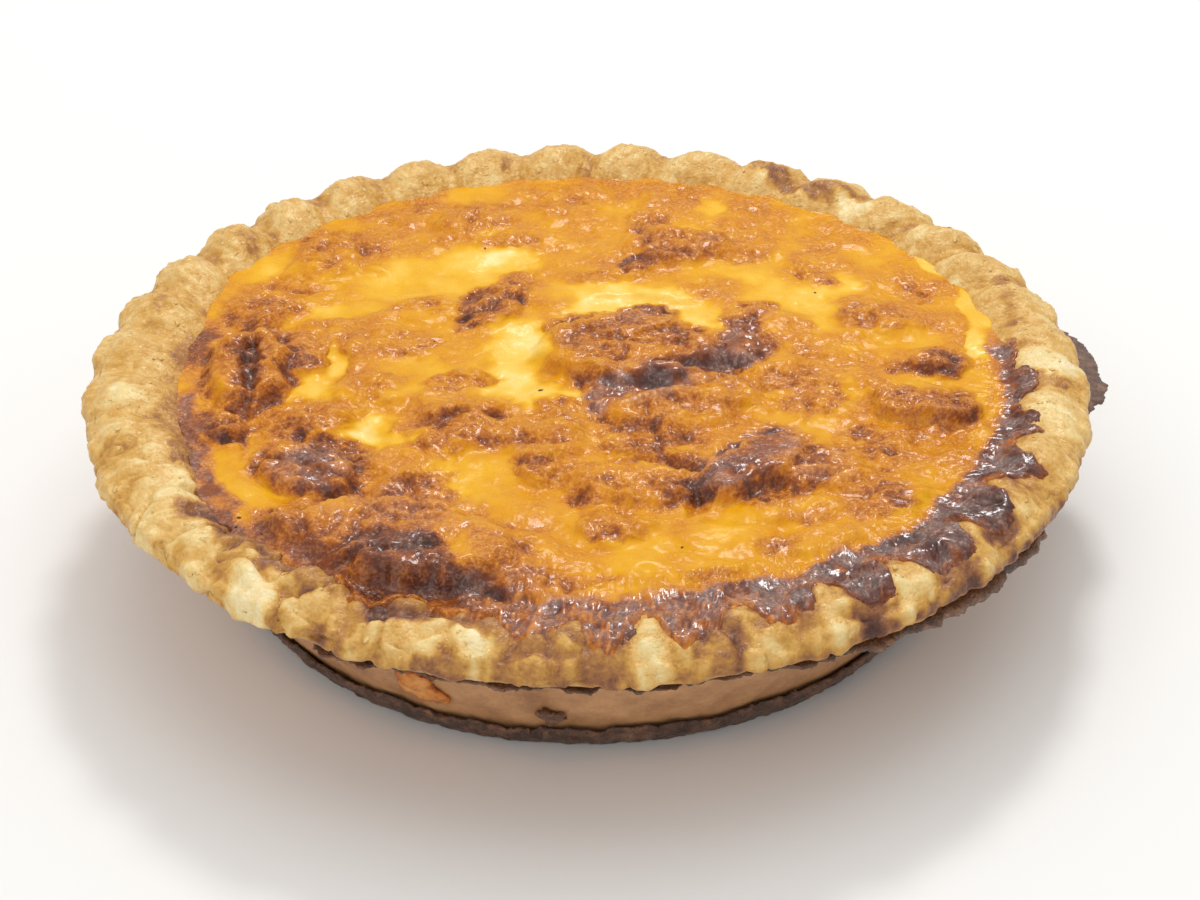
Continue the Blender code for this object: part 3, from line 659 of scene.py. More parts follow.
def cheeseMaterial():
    look = cheeseLook
    material, tree, at = newMaterial("leaked_cheese")
    grain = tree.noise(at, look["grainSize"], 3.0, 0.6)
    tone = tree.attribute("browning") + (grain - 0.5) * 0.8
    return finish(material, tree, {
        "Base Color": tree.ramp(tone.clamped(), look["tones"]), "Roughness": 0.34, "Coat Weight": 0.1,
        "Normal": tree.bump(grain, look["bumpDepth"]), "Specular IOR Level": 0.5,
    })


custard, pastry, burnt, cheese = custardMaterial(), pastryMaterial(), burntMaterial(), cheeseMaterial()
print("finishes ready")


# The pastry case: a crimped rim, a sloping wall, a foot and the inside that the filling hides

def curveThrough(points, count):  # a smooth curve through a few points, as evenly spaced ones
    p = np.array([2 * np.array(points[0]) - points[1], *points, 2 * np.array(points[-1]) - points[-2]])
    fine = []
    for before, here, after, beyond in zip(p, p[1:], p[2:], p[3:]):
        for t in np.linspace(0, 1, 30, endpoint=False):
            bend = (2 * before - 5 * here + 4 * after - beyond) * t * t
            turn = (-before + 3 * here - 3 * after + beyond) * t ** 3
            fine.append((2 * here + (after - before) * t + bend + turn) / 2)
    fine = np.array(fine + [p[-2]])
    length = np.concatenate([[0], np.cumsum(np.linalg.norm(np.diff(fine, axis=0), axis=1))])
    at = np.linspace(0, length[-1], count)
    return np.stack([np.interp(at, length, fine[:, k]) for k in (0, 1)], -1)


def caseProfile(topZ):  # the outside of the case from the rim's edge to the foot, and the way outwards
    c = crust
    roll = curveThrough([(c["topEdge"], topZ), (0.0990, topZ - 0.0010), (c["rimRadius"], c["rimEdgeZ"]),
                         (0.0989, 0.0344), c["rimUnder"]], c["rollRings"])[1:]
    under = curveThrough([c["rimUnder"], (0.0915, 0.0327), c["wallHead"]], c["underRings"])[1:]
    wall = curveThrough([c["wallHead"], (c["wallTop"] - 0.0005, c["wallTopZ"]), (c["footRadius"] + 0.0009, 0.0016),
                         (c["footRadius"] - 0.0012, c["footZ"])], c["wallRings"])[1:]
    foot = [(r, c["footZ"]) for r in (0.060, 0.045, 0.028, 0.012)]
    profile = np.concatenate([roll, under, wall, foot])
    tangent = np.gradient(profile, axis=0)
    tangent /= np.linalg.norm(tangent, axis=1)[:, None]
    return profile, np.stack([-tangent[:, 1], tangent[:, 0]], -1)


def caseSurface(column):  # rings of points from the filling's edge over the rim to the foot, and what is wall
    c = crust
    topZ = c["crestZ"] - c["rimFall"] * (c["topEdge"] - c["crestRadius"]) ** 2
    rows, wallness = [], []
    for radius in np.linspace(c["innerEdge"], c["topEdge"], c["topRings"]):
        ring = around(direction(column, radius), radius)
        ring[:, 2] = crustTop(ring[:, 0], ring[:, 1])
        rows.append(ring)
        wallness.append(np.zeros_like(column))
    for (radius, z), (outR, outZ) in zip(*caseProfile(topZ)):
        onRim = smoothStep((z - 0.0325) / 0.0030) if radius > 0.0868 else 0.0
        wave = crimpWave(column) * boldness(column)
        lift = (0.6 * c["crimpRise"] * wave * onRim) * smoothStep((radius - 0.094) / 0.004)
        r = radius + c["crimpReach"] * np.minimum(boldness(column), 0.9) * np.cos(c["crimps"] * column) * onRim
        angle = direction(column, r)
        ring = around(angle, r, z + lift)
        relief = crustRelief(ring + (0, 0, c["reliefZ"] - topZ), angle) * mix(0.12, 1.0, onRim) * (z >= 0.0005)
        turn = smoothStep((radius - c["topEdge"]) / 0.0012) if z > c["rimEdgeZ"] else 1.0
        rows.append(ring + around(angle, outR * turn * relief, mix(1.0, outZ, turn) * relief))
        wallness.append(np.full_like(column, 1 - onRim))
    points = np.stack(rows)
    points[..., 2] = np.clip(points[..., 2], gap, caseTop - gap)
    return points, np.stack(wallness)


def caseBrowning(points, wallness, column):
    x, y, z = points[..., 0] / mm, points[..., 1] / mm, points[..., 2]
    angle, radius = np.arctan2(y, x), np.hypot(x, y)
    column = np.broadcast_to(column, x.shape)
    relief = crustRelief(place(points[..., 0], points[..., 1], crust["reliefZ"]), angle) / mm
    valley = smoothStep((0.1 - crimpWave(column)) / 1.1)
    flat = place(x, y, z / mm)
    front = frontness(angle)
    # painted shade: the crimps' valleys are browner
    start = 0.42 + 0.06 * roughNoise(flat, 9, 61) + 0.12 * valley * mix(0.1, 1.0, boldness(column)) - 0.02 * front
    streak = ridges(place(column * crust["crimpGirth"] / 1.7, radius / 6, z / mm / 4), 1.0, 62) ** 3
    spots = browningFrom(crustSpots, x, y, start, 63)
    # painted light and shade: the crust's raised relief is paler and its hollows browner
    spots = spots - 0.15 * streak * (1 - 0.6 * front) - np.clip(relief, -1.1, 0.9) * mix(0.13, 0.20, front)
    beyond = radius - fillingReach(angle) / mm + 1.6 * softNoise(flat, 4, 67)  # stained beside what boiled over
    stain = np.exp(-np.maximum(beyond, 0) / 2.6) * boiledOver(angle) * (0.6 + 0.6 * softNoise(flat, 3.5, 64))
    spots = mix(spots, 0.77, np.clip(stain, 0, 0.8))
    scorched = beside(angle, -42, 24)
    spots = spots - 0.42 * np.maximum(spots - 0.58, 0) * (1 - 0.7 * scorched)
    low = smoothStep((0.0372 + 0.0016 * scorched - z) / 0.003) * (1 - wallness)  # the rim's lower edge is browner
    ragged = 0.5 + 0.5 * softNoise(flat, 2.6, 65)
    browning = mix(spots, mix(spots + 0.10, 0.90, scorched * ragged), low)
    browning = mix(browning, 0.34 + 0.16 * roughNoise(flat, 10, 66), wallness)
    # painted shade: the crust's inside, where it meets the filling, is darker
    innerShade = smoothStep((0.0845 - radius * mm) / 0.002) * (z > 0.03)
    return mix(browning, 0.66, innerShade * 0.5)


def pastryCase():
    c = crust
    columns = c["columns"]
    column = np.linspace(-pi, pi, columns, endpoint=False)
    points, wallness = caseSurface(column)
    browning = caseBrowning(points, wallness, column)
    hidden = [around(direction(column, r), r, h)
              for r, h in ((c["innerEdge"] - 0.0010, 0.0330), (c["footRadius"] - 0.0016, c["floorZ"]))]
    rings = ringNumbers(len(points), columns)
    first = rings.size
    inside = ringNumbers(2, columns, first)
    under = first + inside.size
    faces = (ringFaces(rings) + fan(rings[-1], under) + joined(inside[0], rings[0]) + ringFaces(inside)
             + fan(inside[1], under + 1))
    extra = inside.size + 2
    return finishMesh(
        "pastryCase",
        np.concatenate([points.reshape(-1, 3), *hidden, [[0, 0, c["footZ"]], [0, 0, c["floorZ"]]]]), faces,
        {"browning": np.concatenate([browning.ravel(), np.full(extra, 0.5)]),
         "wall": np.concatenate([wallness.ravel(), np.ones(extra)])}, pastry)


standsFor(pastryCase(), "pastry_case")


# The filling: one skin over the whole top, down over the rim, and a hidden body inside the case

fillingLook = dict(
    cells=300, quietShare=0.84, quietRadius=0.0765, edgeZ=0.0386, crown=0.8 * mm, crownRadius=0.0845,
    spillRise=1.0 * mm, relief=1.65, humpsTo=0.0875, humpsFade=(0.0088, 0.006), hang=1.55, level=38.5,
    skinStart=78.8, skinFrom=-128, skinTo=14, burntFrom=-108, skinThick=0.48 * mm, sunkEdge=-0.7 * mm, skinEnd=96.6,
    overRim=3.0 * mm, seamStart=0.0795, seamWidth=2.2 * mm, farthest=0.0975, hiddenRadius=0.0828, innerRadius=0.0810,
    topLimit=fillingTop - gap,
)


def fillingSurface(x, y, reach):  # height in metres, and the browning and the skin at points in metres
    look = fillingLook
    radius, angle = np.hypot(x, y), np.arctan2(y, x)
    px, py, out = x / mm, y / mm, radius / mm
    flat = place(px, py)
    spilt = boiledOver(angle)
    warpX = px + 1.3 * softNoise(flat, 8, 73) + 0.7 * softNoise(flat, 3.2, 74)
    warpY = py + 1.3 * softNoise(flat, 8, 75) + 0.7 * softNoise(flat, 3.2, 76)
    share = radius / look["crownRadius"]
    z = look["edgeZ"] + look["crown"] * (1 - share ** 2) + look["spillRise"] * spilt * share ** 2
    before, width = look["humpsFade"]
    inner = 1 - smoothStep((radius - np.minimum(reach, look["humpsTo"]) + before) / width)
    humps = sum(rise * inBlob(warpX, warpY, (*oval, soft)) for *oval, rise, soft in fillingHumps) * look["relief"]
    humps = humps + 0.42 * softNoise(flat, 9, 81)
    lift = (z / mm + humps * inner - look["level"]) - 3 * (1 - np.minimum(share, 1) ** 2)
    hung = look["hang"] * lift  # spots hang down a hump's front
    browning = browningFrom(fillingSpots, px, py + hung, 0.46 + 0.04 * smoothStep((py - 35) / 30), 73)
    cooked = smoothStep((browning - 0.40) / 0.25)
    noise = noises(flat, (0.08, 6, 70), (0.06, 3.0, 72)) * (0.45 + 0.55 * cooked)
    noise = noise + 0.08 * roughNoise(flat, 16, 71) + 0.05 * softNoise(flat * (1.0, 1.7, 1), 1.7, 77) * cooked
    browning = browning + noise * (1 - 0.65 * smoothStep((browning - 0.68) / 0.15))
    lumps = noises(flat, (0.50, 4.6, 82), (0.26, 2.9, 88)) * (0.40 + 0.60 * cooked)
    creased = place(px * 0.55 + 0.25 * py, py) + softNoise(flat, 9, 86)[..., None] * 2.0
    grooves = 0.80 * ridges(creased, 9, 83) ** 3 + 0.40 * ridges(creased, 4.2, 87) ** 2.5
    grain = softNoise(flat, 1.9, 84) * (0.05 + 0.25 * cooked) + softNoise(flat, 1.15, 85) * (0.02 + 0.20 * cooked)
    z = z + (humps + lumps + (0.3 - grooves) * (0.10 + 0.90 * cooked) + grain) * mm * mix(0.35, 1.0, inner)
    # painted shade: the grooves are browner and the grain's tops paler
    browning = browning + (0.13 * (grooves - 0.25) - 0.05 * grain) * cooked

    # the skin that boiled over: thin, wrinkled across the way it ran, and burnt dark
    degrees = np.degrees(angle)
    wander = noises(flat, (1.5, 7, 90), (0.9, 3, 91))
    burntHere = smoothStep(np.degrees(angleBetween(angle, radians(look["burntFrom"]))) / 14)
    atFront = beside(angle, -90, 22)
    window = smoothStep((degrees - look["skinFrom"]) / 8) * smoothStep((look["skinTo"] - degrees) / 10)
    skinStart = look["skinStart"] - 2.2 * atFront + 1.8 * smoothStep((degrees + 62) / 25)
    skin = smoothStep((out - skinStart + wander) / mix(2.6, 3.6, atFront)) * window
    fingered = np.max([np.clip(1.15 - (degreesOff(angle, middle) / half) ** 2, 0, 1)
                       for middle, half, _ in fingers], 0)
    sideways = angle * 84 / 1.5 + 0.7 * softNoise(flat, 5, 92)
    wrinkles = ridges(place(sideways, out / 8), 1.0, 93) ** 2
    fineWrinkles = ridges(place(sideways * 2.1, out / 4), 1.0, 94) ** 2
    outer = smoothStep((out - skinStart + 4.5 + wander) / 3.0) * window
    torn = noises(flat, (1.7, 4.5, 100), (1.1, 2.1, 101), (0.5, 1.1, 102))
    inside = np.minimum((reach - radius) / mm + torn * smoothStep((radius - 0.079) / 0.003), look["skinEnd"] - out)
    nearEdge = smoothStep(inside / 3.0)
    thick = mix(look["sunkEdge"], look["skinThick"], smoothStep(inside / 1.4 + 0.5) * np.maximum(window, spilt))
    z = z - look["overRim"] * smoothStep((radius - 0.0865 + 0.0042 * broadRim(angle)) / 0.005)
    z = larger(z, crustTop(x, y) + thick, 0.6 * mm)
    fade = mix(0.25, 1.0, nearEdge) * mix(0.4, 1.0, burntHere)
    z = z + (0.54 * wrinkles + 0.26 * fineWrinkles) * mm * outer * fade
    scorch = mix(0.97, 0.90, atFront) + noises(flat, (0.07, 5, 95), (0.05, 2, 97))
    scorch = scorch - mix(0.08, 0.20, atFront) * (wrinkles + 0.5 * fineWrinkles)
    scorch = scorch - 0.05 * (1 - nearEdge) - 0.07 * (1 - fingered) * (1 - 0.5 * atFront)
    spotsLeft = mix(browning, 0.86 + 0.08 * softNoise(flat, 4, 96), 0.7)
    browning = mix(browning, mix(spotsLeft, scorch, burntHere), skin)
    seam = radius - look["seamStart"] + 3.2 * mm * broadRim(angle) + 1.2 * mm * softNoise(flat, 4, 99)
    seam = smoothStep(seam / look["seamWidth"]) * (1 - window)  # beside the crust, where nothing boiled over
    leftSeam = beside(angle, -153, 20, 1.8) * np.clip(0.80 + 0.7 * softNoise(flat, 5, 98), 0, 1)
    browning = mix(browning, 0.85, seam * np.maximum(leftSeam, beside(angle, 172, 6)))
    # gloss goes into the skin attribute: a glossier coat and a painted sheen in the base colour
    gloss = 0.5 * seam * leftSeam
    for *oval, level, soft in glossySpots:
        gloss = np.maximum(gloss, level * inBlob(warpX, warpY + hung, (*oval, soft)))
    skin = np.maximum(skin * burntHere * mix(0.4, 1.0, nearEdge), gloss)
    return np.minimum(z, look["topLimit"]), browning, skin


def blurred(values, reach):  # each value averaged with its neighbours on the grid
    for axis in (0, 1):
        ends = [np.repeat(values.take([end], axis), reach + 1 + end, axis) for end in (0, -1)]
        sums = np.cumsum(np.concatenate([ends[0], values, ends[1]], axis), axis)
        far, width = sums.shape[axis], 2 * reach + 1
        values = (sums.take(range(width, far), axis) - sums.take(range(far - width), axis)) / width
    return values


def riseToBack(x, y, z):  # how steeply a surface on a grid climbs towards +Y
    (xu, xv), (yu, yv), (zu, zv) = np.gradient(x), np.gradient(y), np.gradient(z)
    area = xu * yv - xv * yu
    return (xu * zv - xv * zu) / np.where(np.abs(area) < 1e-12, 1e-12, area)


def eggFilling():
    look = fillingLook
    share, angle = roundGrid(look["cells"])
    reach = fillingReach(angle)
    quiet, quietShare = look["quietRadius"], look["quietShare"]
    edge = np.minimum(reach + 0.0024 * boiledOver(angle), look["farthest"])
    radius = np.where(share < quietShare, quiet * share / quietShare,
                      quiet + (share - quietShare) / (1 - quietShare) * (edge - quiet))
    x, y = radius * np.cos(angle), radius * np.sin(angle)
    z, browning, skin = fillingSurface(x, y, reach)
    within = smoothStep((look["innerRadius"] - radius) / 0.003)
    # painted light and shade on the browned egg: slopes facing the front are darker and parts raised above their
    # surroundings paler
    front = np.clip(riseToBack(x, y, blurred(z, 2)), -0.5, 0.9)
    raised = np.clip((blurred(z, 1) - blurred(z, 7)) / mm, -1, 1)
    browning = browning + smoothStep((browning - 0.42) / 0.25) * within * (0.13 * front - 0.12 * raised)
    browning = browning - 0.36 * np.maximum(browning - 0.80, 0) * within
    # the darkest browning gets a little skin: a glossier coat and a painted sheen in the base colour
    skin = np.maximum(skin, 0.12 * smoothStep((browning - 0.78) / 0.08))
    grid = np.arange(z.size).reshape(z.shape)
    top = place(x, y, z).reshape(-1, 3)
    border = borderOf(grid)
    edgeAngle, edgeRadius = np.arctan2(top[border, 1], top[border, 0]), np.hypot(top[border, 0], top[border, 1])
    rows = []
    for step, sink in ((0.0, 1.0 * mm), (0.35, 1.1 * mm), (0.7, 1.2 * mm), (1.0, 1.3 * mm)):
        ring = around(edgeAngle, mix(edgeRadius - 0.2 * mm, look["hiddenRadius"], step))
        ring[:, 2] = crustTop(ring[:, 0], ring[:, 1]) - sink
        rows.append(ring)
    bottom = crust["floorZ"] + 0.5 * mm
    rows += [around(edgeAngle, crust["innerEdge"] - 1.6 * mm, 0.0320),
             around(edgeAngle, crust["footRadius"] - 2.4 * mm, bottom)]
    rings = ringNumbers(len(rows), len(border), z.size)
    faces = gridFaces(grid) + ringFaces([border, *rings]) + fan(rings[-1], z.size + rings.size)
    points = np.concatenate([top, *rows, [[0, 0, bottom]]])
    return finishMesh(
        "eggFilling", points, faces,
        {"browning": np.concatenate([browning.ravel(), np.tile(browning.ravel()[border], len(rows)), [0.4]]),
         "skin": np.concatenate([skin.ravel(), np.zeros(len(points) - z.size)])}, custard)


fillingPiece = standsFor(eggFilling(), "egg_filling")


# Burnt leaks: the band round the foot and the sheet under the rim

bandLook = dict(
    columns=1080, top=5.8 * mm, outer=0.0735, footOuter=0.0705,
    profile=[(0.0, -0.0004), (0.0, 0.35), (0.0, 0.7), (0.15, 0.95), (0.5, 1.03), (0.85, 0.96), (1.0, 0.8),
             (1.0, 0.62), (0.96, 0.45), (0.9, 0.3), (0.8, 0.16), (0.65, 0.05), (0.5, 0.0)],
)


def footBand():
    look = bandLook
    angle = np.linspace(-pi, pi, look["columns"], endpoint=False)
    top = look["top"] * (0.88 + noises(around(angle, 72), (0.16, 9, 101), (0.12, 3, 102), (0.06, 1.3, 103)))
    rows = []
    for across, up in look["profile"]:
        z = np.maximum(top * up, 0.0)
        outer = mix(look["footOuter"], look["outer"], np.clip(z / look["top"], 0, 1) ** 0.8)
        r = mix(wallRadius(z) - 0.2 * mm, outer, across)
        base = around(angle, r, z)
        near, _ = cells(base, 2.2 * mm, 106)
        rough = noises(base, (0.42, 3.2 * mm, 104), (0.30, 1.4 * mm, 105)) + 0.35 * (0.6 - near)
        rough = rough * smoothStep(across * 2.5) * mm
        rows.append(around(angle, r + rough, np.maximum(z + rough * 0.3 * (up > 0.1), 0.0)))
    points = np.stack(rows)
    rings = ringNumbers(len(rows), look["columns"])
    tone = 0.42 + noises(points / mm, (0.16, 6, 107), (0.16, 2, 108))
    return finishMesh("footBand", points, ringFaces(rings) + joined(rings[-1], rings[0]), {"browning": tone}, burnt)


standsFor(footBand(), "burnt_foot_band")

leakLook = dict(
    start=-127, end=23.5, steps=900, inner=0.0874, edge=0.0963, flakeAngle=11, flakeBefore=13, flakeAfter=10,
    flakeReach=0.0104, thick=0.7 * mm, topZ=0.0322, hungAngle=-43, hungSpread=20, hungReach=2.2 * mm,
    profile=[(0.0, 0.0), (0.25, 0.0), (0.5, 0.0), (0.7, 0.0), (0.82, 0.0), (0.90, 0.02), (0.96, 0.08), (1.0, 0.3),
             (0.995, 0.6), (0.97, 0.85), (0.90, 1.0), (0.78, 1.02), (0.62, 1.0), (0.4, 1.0), (0.2, 1.0), (0.0, 1.0)],
)


def leakSheet():
    look = leakLook
    degrees = np.linspace(look["start"], look["end"], look["steps"])
    angle = np.radians(degrees)
    spread = np.where(degrees > look["flakeAngle"], look["flakeAfter"], look["flakeBefore"])
    flake = np.exp(-np.abs((degrees - look["flakeAngle"]) / spread) ** 3)
    hung = np.exp(-np.abs((degrees - look["hungAngle"]) / look["hungSpread"]) ** 3)
    ring = around(angle, 98)
    ragged = noises(ring, (1.1, 9, 110), (0.8, 4, 111), (0.5, 1.7, 112), (0.25, 0.9, 113)) * mm
    ends = np.minimum(smoothStep((degrees - look["start"]) / 10), smoothStep((look["end"] - degrees) / 5))
    reach = look["edge"] - look["inner"] + look["flakeReach"] * flake + look["hungReach"] * hung + ragged
    outer = np.minimum(look["inner"] + reach * (0.35 + 0.65 * ends), leakRight - 0.4 * mm)
    thick = look["thick"] * (0.8 + 0.35 * softNoise(ring, 5, 114) + 0.6 * flake + 2.2 * hung) * (0.3 + 0.7 * ends)
    rows = []
    for across, down in look["profile"]:
        r = mix(look["inner"], outer, across)
        beyond = np.maximum(0, r - crust["rimRadius"])
        base = around(angle, r, look["topZ"] - 0.25 * beyond - thick * down)
        rough = noises(base, (0.20, 2.4 * mm, 115), (0.14, 1.0 * mm, 116)) * mm
        sunk = np.abs(rough) * (1.6 if down > 0.5 else 0.6 * smoothStep(beyond / 0.002))
        rows.append(base + around(angle, rough * smoothStep(across * 4 - 2.6), -sunk))
    points = np.stack(rows, 1)  # steps, then round the section
    rings = ringNumbers(*points.shape[:2])
    tone = 0.54 + noises(points / mm, (0.18, 5, 117), (0.16, 1.8, 118))
    ends = [rings[0, ::-1], rings[-1]]
    return finishMesh("leakSheet", points, ringFaces(rings) + ends, {"browning": tone}, burnt)


standsFor(leakSheet(), "burnt_leak")


# On the wall: the cheese that ran down it, and the tip of the burnt sheet

patches = [
    dict(name="cheeseDrip", node="cheese_drip", slot="cheese", finish=cheese, angle=radians(-113.2), z=0.0138,
         halfWidth=0.0043, halfHeight=0.0050, thick=0.0012, curl=0.0, ragged=0.30, tone=0.26, toneOut=0.40, seed=121,
         cells=70),
    dict(name="wallFlap", node="burnt_leak", slot="burnt", finish=burnt, angle=radians(-94.5), z=0.0092,
         halfWidth=0.0034, halfHeight=0.0030, thick=0.0008, curl=0.0011, ragged=0.50, tone=0.58, toneOut=0.15, seed=131,
         cells=50),
]


def wallPatch(look):  # a thin closed scab on the wall, thickest in its middle
    share, turn = roundGrid(look["cells"])
    seed = look["seed"]
    outline = 1 + look["ragged"] * noises(around(turn, 1), (1, 0.9, seed), (0.6, 0.35, seed + 1))
    u, v = share * np.cos(turn) * outline, share * np.sin(turn) * outline
    z = look["z"] + v * look["halfHeight"]
    radius = wallRadius(z)
    lumps = softNoise(place(u, v), 0.5, seed + 2)
    bulge = look["thick"] * np.sqrt(np.clip(1 - share ** 2, 0, 1)) * (0.8 + 0.5 * lumps)
    bulge = bulge + look["curl"] * np.clip(v, 0, 2) ** 2
    behind = np.minimum(bulge - 0.5 * mm, bulge * 0.4 - 0.5 * mm) * (share < 1) - 0.2 * mm
    sides = [around(look["angle"] + u * look["halfWidth"] / radius, radius + lift, z) for lift in (bulge, behind)]
    front = np.arange(u.size).reshape(u.shape)
    back = front + u.size
    faces = gridFaces(front) + [face[::-1] for face in gridFaces(back)] + joined(borderOf(front), borderOf(back))
    tone = look["tone"] + look["toneOut"] * share ** 3 + 0.15 * lumps
    return finishMesh(look["name"], np.stack(sides), faces, {"browning": np.stack([tone, tone])}, look["finish"])


for patch in patches:
    standsFor(wallPatch(patch), patch["node"])


# Loose bits, scattered with Geometry Nodes: flakes on the rim and crumbs on the burnt parts

scatters = [
    dict(name="rimFlakes", over="pastryCase", node="pastry_case", slot="pastry", finish=pastry, seed=5, bitSeed=12,
         count=900, size=(1.5 * mm, 1.0 * mm, 0.30 * mm), low=0.40, high=1.0, lowest=0.0365, tone=0.34, most=0.46,
         sink=0.05 * mm),
    dict(name="bandCrumbs", over="footBand", node="burnt_foot_band", slot="burnt", finish=burnt, seed=8, bitSeed=13,
         count=520, size=(1.3 * mm, 1.0 * mm, 0.8 * mm), low=0.45, high=1.2, lowest=0.0018, tone=0.45, most=2.0,
         sink=0.25 * mm),
    dict(name="leakCrumbs", over="leakSheet", node="burnt_leak", slot="burnt", finish=burnt, seed=11, bitSeed=13,
         count=360, size=(1.2 * mm, 0.9 * mm, 0.6 * mm), low=0.4, high=1.1, lowest=0.0290, tone=0.42, most=2.0,
         sink=0.2 * mm),
]
limits = dict(side=0.1000, top=caseTop - 0.2 * mm)
treeInputs = dict(
    surface="Object", bit="Object", finish="Material", density="Float", low="Float", high="Float", lowest="Float",
    side="Float", top="Float", most="Float", sink="Float", seed="Int",
)


def smoothBits(name, shape, tone, material):  # an object of all that a bmesh holds, in one tone
    mesh = bpy.data.meshes.new(name)
    shape.to_mesh(mesh)
    shape.free()
    mesh.shade_smooth()
    mesh.attributes.new("browning", "FLOAT", "POINT").data.foreach_set("value", [tone] * len(mesh.vertices))
    mesh.materials.append(material)
    return newObject(name, mesh)


def crumbShape(kind):  # one irregular bit, about as large as its size
    shape = bmesh.new()
    bmesh.ops.create_icosphere(shape, subdivisions=2, radius=0.5)
    for point in shape.verts:
        point.co *= 1 + 0.35 * float(softNoise(np.array(point.co)[None], 0.4, kind["bitSeed"])[0])
        point.co = Vector(a * b for a, b in zip(point.co, kind["size"]))
    return smoothBits(kind["name"] + "Bit", shape, kind["tone"], kind["finish"])


def scatterTree(name):
    group = bpy.data.node_groups.new(name, "GeometryNodeTree")
    group.interface.new_socket("Geometry", in_out="OUTPUT", socket_type="NodeSocketGeometry")
    for socket, kind in treeInputs.items():
        group.interface.new_socket(socket, in_out="INPUT", socket_type="NodeSocket" + kind)
    tree = Tree(group)
    given = tree.add("NodeGroupInput").beside
    surface = tree.add("GeometryNodeObjectInfo", {"transform_space": "RELATIVE"}, {"Object": given("surface")},
                       output="Geometry")
    x = tree.add("ShaderNodeSeparateXYZ", None, {0: tree.add("GeometryNodeInputPosition")})
    y, z = x.beside(1), x.beside(2)
    paint = tree.add("GeometryNodeInputNamedAttribute", {"data_type": "FLOAT"}, {"Name": "browning"})
    chosen = None
    for small, large in (((x * x + y * y) ** 0.5, given("side")), (given("lowest"), z), (z, given("top")),
                         (paint, given("most"))):
        test = tree.add("FunctionNodeCompare", {"operation": "LESS_THAN"}, {0: small, 1: large})
        chosen = tree.add("FunctionNodeBooleanMath", {"operation": "AND"}, {0: chosen, 1: test}) if chosen else test
    points = tree.add("GeometryNodeDistributePointsOnFaces", None,
                      {"Mesh": surface, "Selection": chosen, "Density": given("density"), "Seed": given("seed")})
    spin = tree.add("FunctionNodeRandomValue", {"data_type": "FLOAT"}, {2: 0.0, 3: 2 * pi, "Seed": 3}, output=1)
    size = tree.add("FunctionNodeRandomValue", {"data_type": "FLOAT"},
                    {2: given("low"), 3: given("high"), "Seed": 4}, output=1)
    spun = tree.add("FunctionNodeAxisAngleToRotation", None, {"Axis": (0, 0, 1), "Angle": spin})
    turned = tree.add("FunctionNodeRotateRotation", {"rotation_space": "LOCAL"},
                      {"Rotation": points.beside("Rotation"), "Rotate By": spun})
    bit = tree.add("GeometryNodeObjectInfo", None, {"Object": given("bit"), "As Instance": True}, output="Geometry")
    placed = tree.add("GeometryNodeInstanceOnPoints", None,
                      {"Points": points, "Instance": bit, "Rotation": turned, "Scale": size})
    down = tree.add("ShaderNodeCombineXYZ", None, {2: 0 - given("sink")})
    lowered = tree.add("GeometryNodeTranslateInstances", None, {"Instances": placed, "Translation": down})
    real = tree.add("GeometryNodeRealizeInstances", None, {"Geometry": lowered})
    painted = tree.add("GeometryNodeSetMaterial", None, {"Geometry": real, "Material": given("finish")})
    tree.add("NodeGroupOutput", None, {"Geometry": painted})
    return group


def scatter(kind):
    surface = bpy.data.objects[kind["over"]]
    area = sum(face.area for face in surface.data.polygons if kind["lowest"] < face.center.z < limits["top"]
               and math.hypot(face.center.x, face.center.y) < limits["side"])
    bit = crumbShape(kind)
    holder = newObject(kind["name"], bpy.data.meshes.new(kind["name"]))
    modifier = holder.modifiers.new("scatter", "NODES")
    modifier.node_group = scatterTree(kind["name"] + "Tree")
    values = {**kind, **limits, "surface": surface, "bit": bit, "density": kind["count"] / area}
    for item in modifier.node_group.interface.items_tree:
        if item.in_out == "INPUT":
            modifier[item.identifier] = values[item.name]
    baked = bpy.data.meshes.new_from_object(holder.evaluated_get(bpy.context.evaluated_depsgraph_get()))
    holder.modifiers.clear()
    for point in baked.vertices:
        point.co.z = max(point.co.z, gap)
    holder.data = baked
    bpy.data.objects.remove(bit)
    return holder


for kind in scatters:
    standsFor(scatter(kind), kind["node"])


# Dark specks of seasoning on the filling: x, y and length in mm

seasoning = dict(
    specks=[(-64, -52.5, 0.9), (-64.3, -55.5, 0.8), (-59.2, -58.6, 0.7), (-9, -7, 1.1), (-31, 12, 0.6), (47, 33, 0.7),
            (18, -63, 0.6), (-22, 51, 0.7)],
    width=0.55, height=0.30 * mm, tone=0.05, level=0.041, turn=1.1,
)


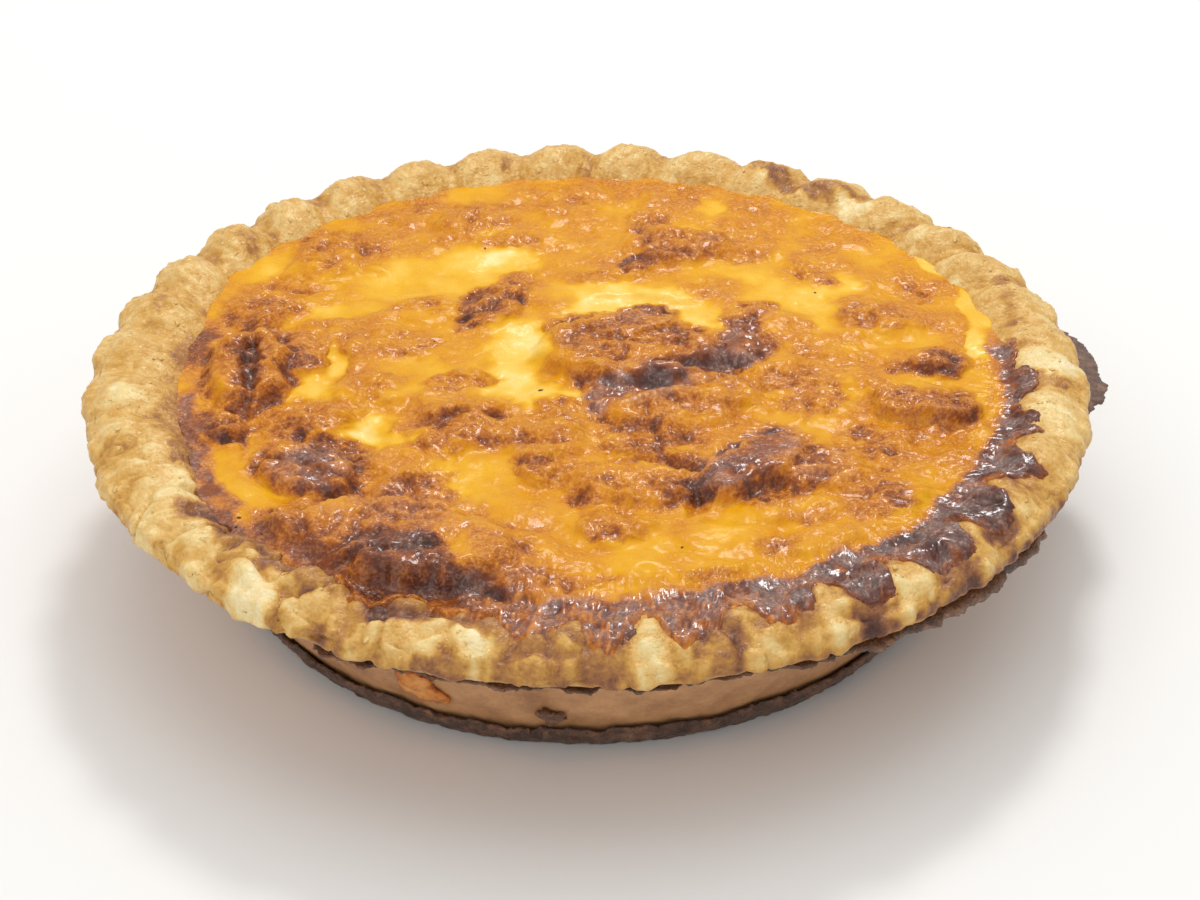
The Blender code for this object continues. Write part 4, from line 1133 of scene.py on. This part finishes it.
def seasoningSpecks():
    shape = bmesh.new()
    ground = np.array([point.co for point in fillingPiece.data.vertices])
    look = seasoning
    for number, (x, y, length) in enumerate(look["specks"]):
        off = np.hypot(ground[:, 0] - x * mm, ground[:, 1] - y * mm) + np.abs(ground[:, 2] - look["level"])
        spot = Vector(ground[np.argmin(off)]) + Vector((0, 0, gap))
        turn = Matrix.Rotation(number * look["turn"], 4, "Z")
        size = (length * mm, length * look["width"] * mm, look["height"])
        for point in bmesh.ops.create_icosphere(shape, subdivisions=2, radius=0.5)["verts"]:
            point.co = turn @ Vector(a * b for a, b in zip(point.co, size)) + spot
            point.co.z = min(point.co.z, limits["top"])
    return smoothBits("seasoning", shape, look["tone"], burnt)


standsFor(seasoningSpecks(), "egg_filling")


# Floor, light and camera

studio = dict(
    floorSize=4.0, floorColour="ECEBE8", world="F6F6F6", worldStrength=0.70, aim=(0, 0, 0.03),
    lamps=dict(top=((0.10, 0.25, 1.50), 1.5, 6.6), key=((0.12, 0.72, 1.08), 0.24, 5.4),
               front=((-0.55, -1.15, 0.85), 1.2, 4.4)),  # place, size and power
    sensor=36, lens=92.6, nearest=0.05, farthest=20, eye=(0.0064, -0.5283, 0.3556),
    right=(1.0, 0.0057, -0.0026), up=(-0.0009, 0.5353, 0.8446), back=(0.0062, -0.8446, 0.5353),
)


def studioScene():
    look = studio
    bpy.ops.mesh.primitive_plane_add(size=look["floorSize"])
    floor = bpy.context.object
    floor.name = "floor"
    material, tree, _ = newMaterial("floor_paint")
    floor.data.materials.append(
        finish(material, tree, {"Base Color": fromHex(look["floorColour"]), "Roughness": 0.6}))

    scene = bpy.context.scene
    scene.world = bpy.data.worlds.new("studio")
    scene.world.use_nodes = True
    world = Tree(scene.world.node_tree)
    world.plug(world.tree.nodes["Background"], {"Color": fromHex(look["world"]), "Strength": look["worldStrength"]})
    scene.view_settings.view_transform = "Standard"

    for name, (spot, size, power) in look["lamps"].items():
        light = bpy.data.lights.new(name, "AREA")
        light.size, light.energy = size, power
        lamp = newObject(name, light)
        lamp.location = spot
        lamp.rotation_euler = (Vector(look["aim"]) - lamp.location).to_track_quat("-Z", "Y").to_euler()

    camera = newObject("camera", bpy.data.cameras.new("camera"))
    camera.data.sensor_width, camera.data.lens = look["sensor"], look["lens"]
    camera.data.clip_start, camera.data.clip_end = look["nearest"], look["farthest"]
    turn = Matrix((look["right"], look["up"], look["back"])).transposed().to_4x4()
    camera.matrix_world = Matrix.Translation(look["eye"]) @ turn
    scene.camera = camera


studioScene()
print("studio ready")
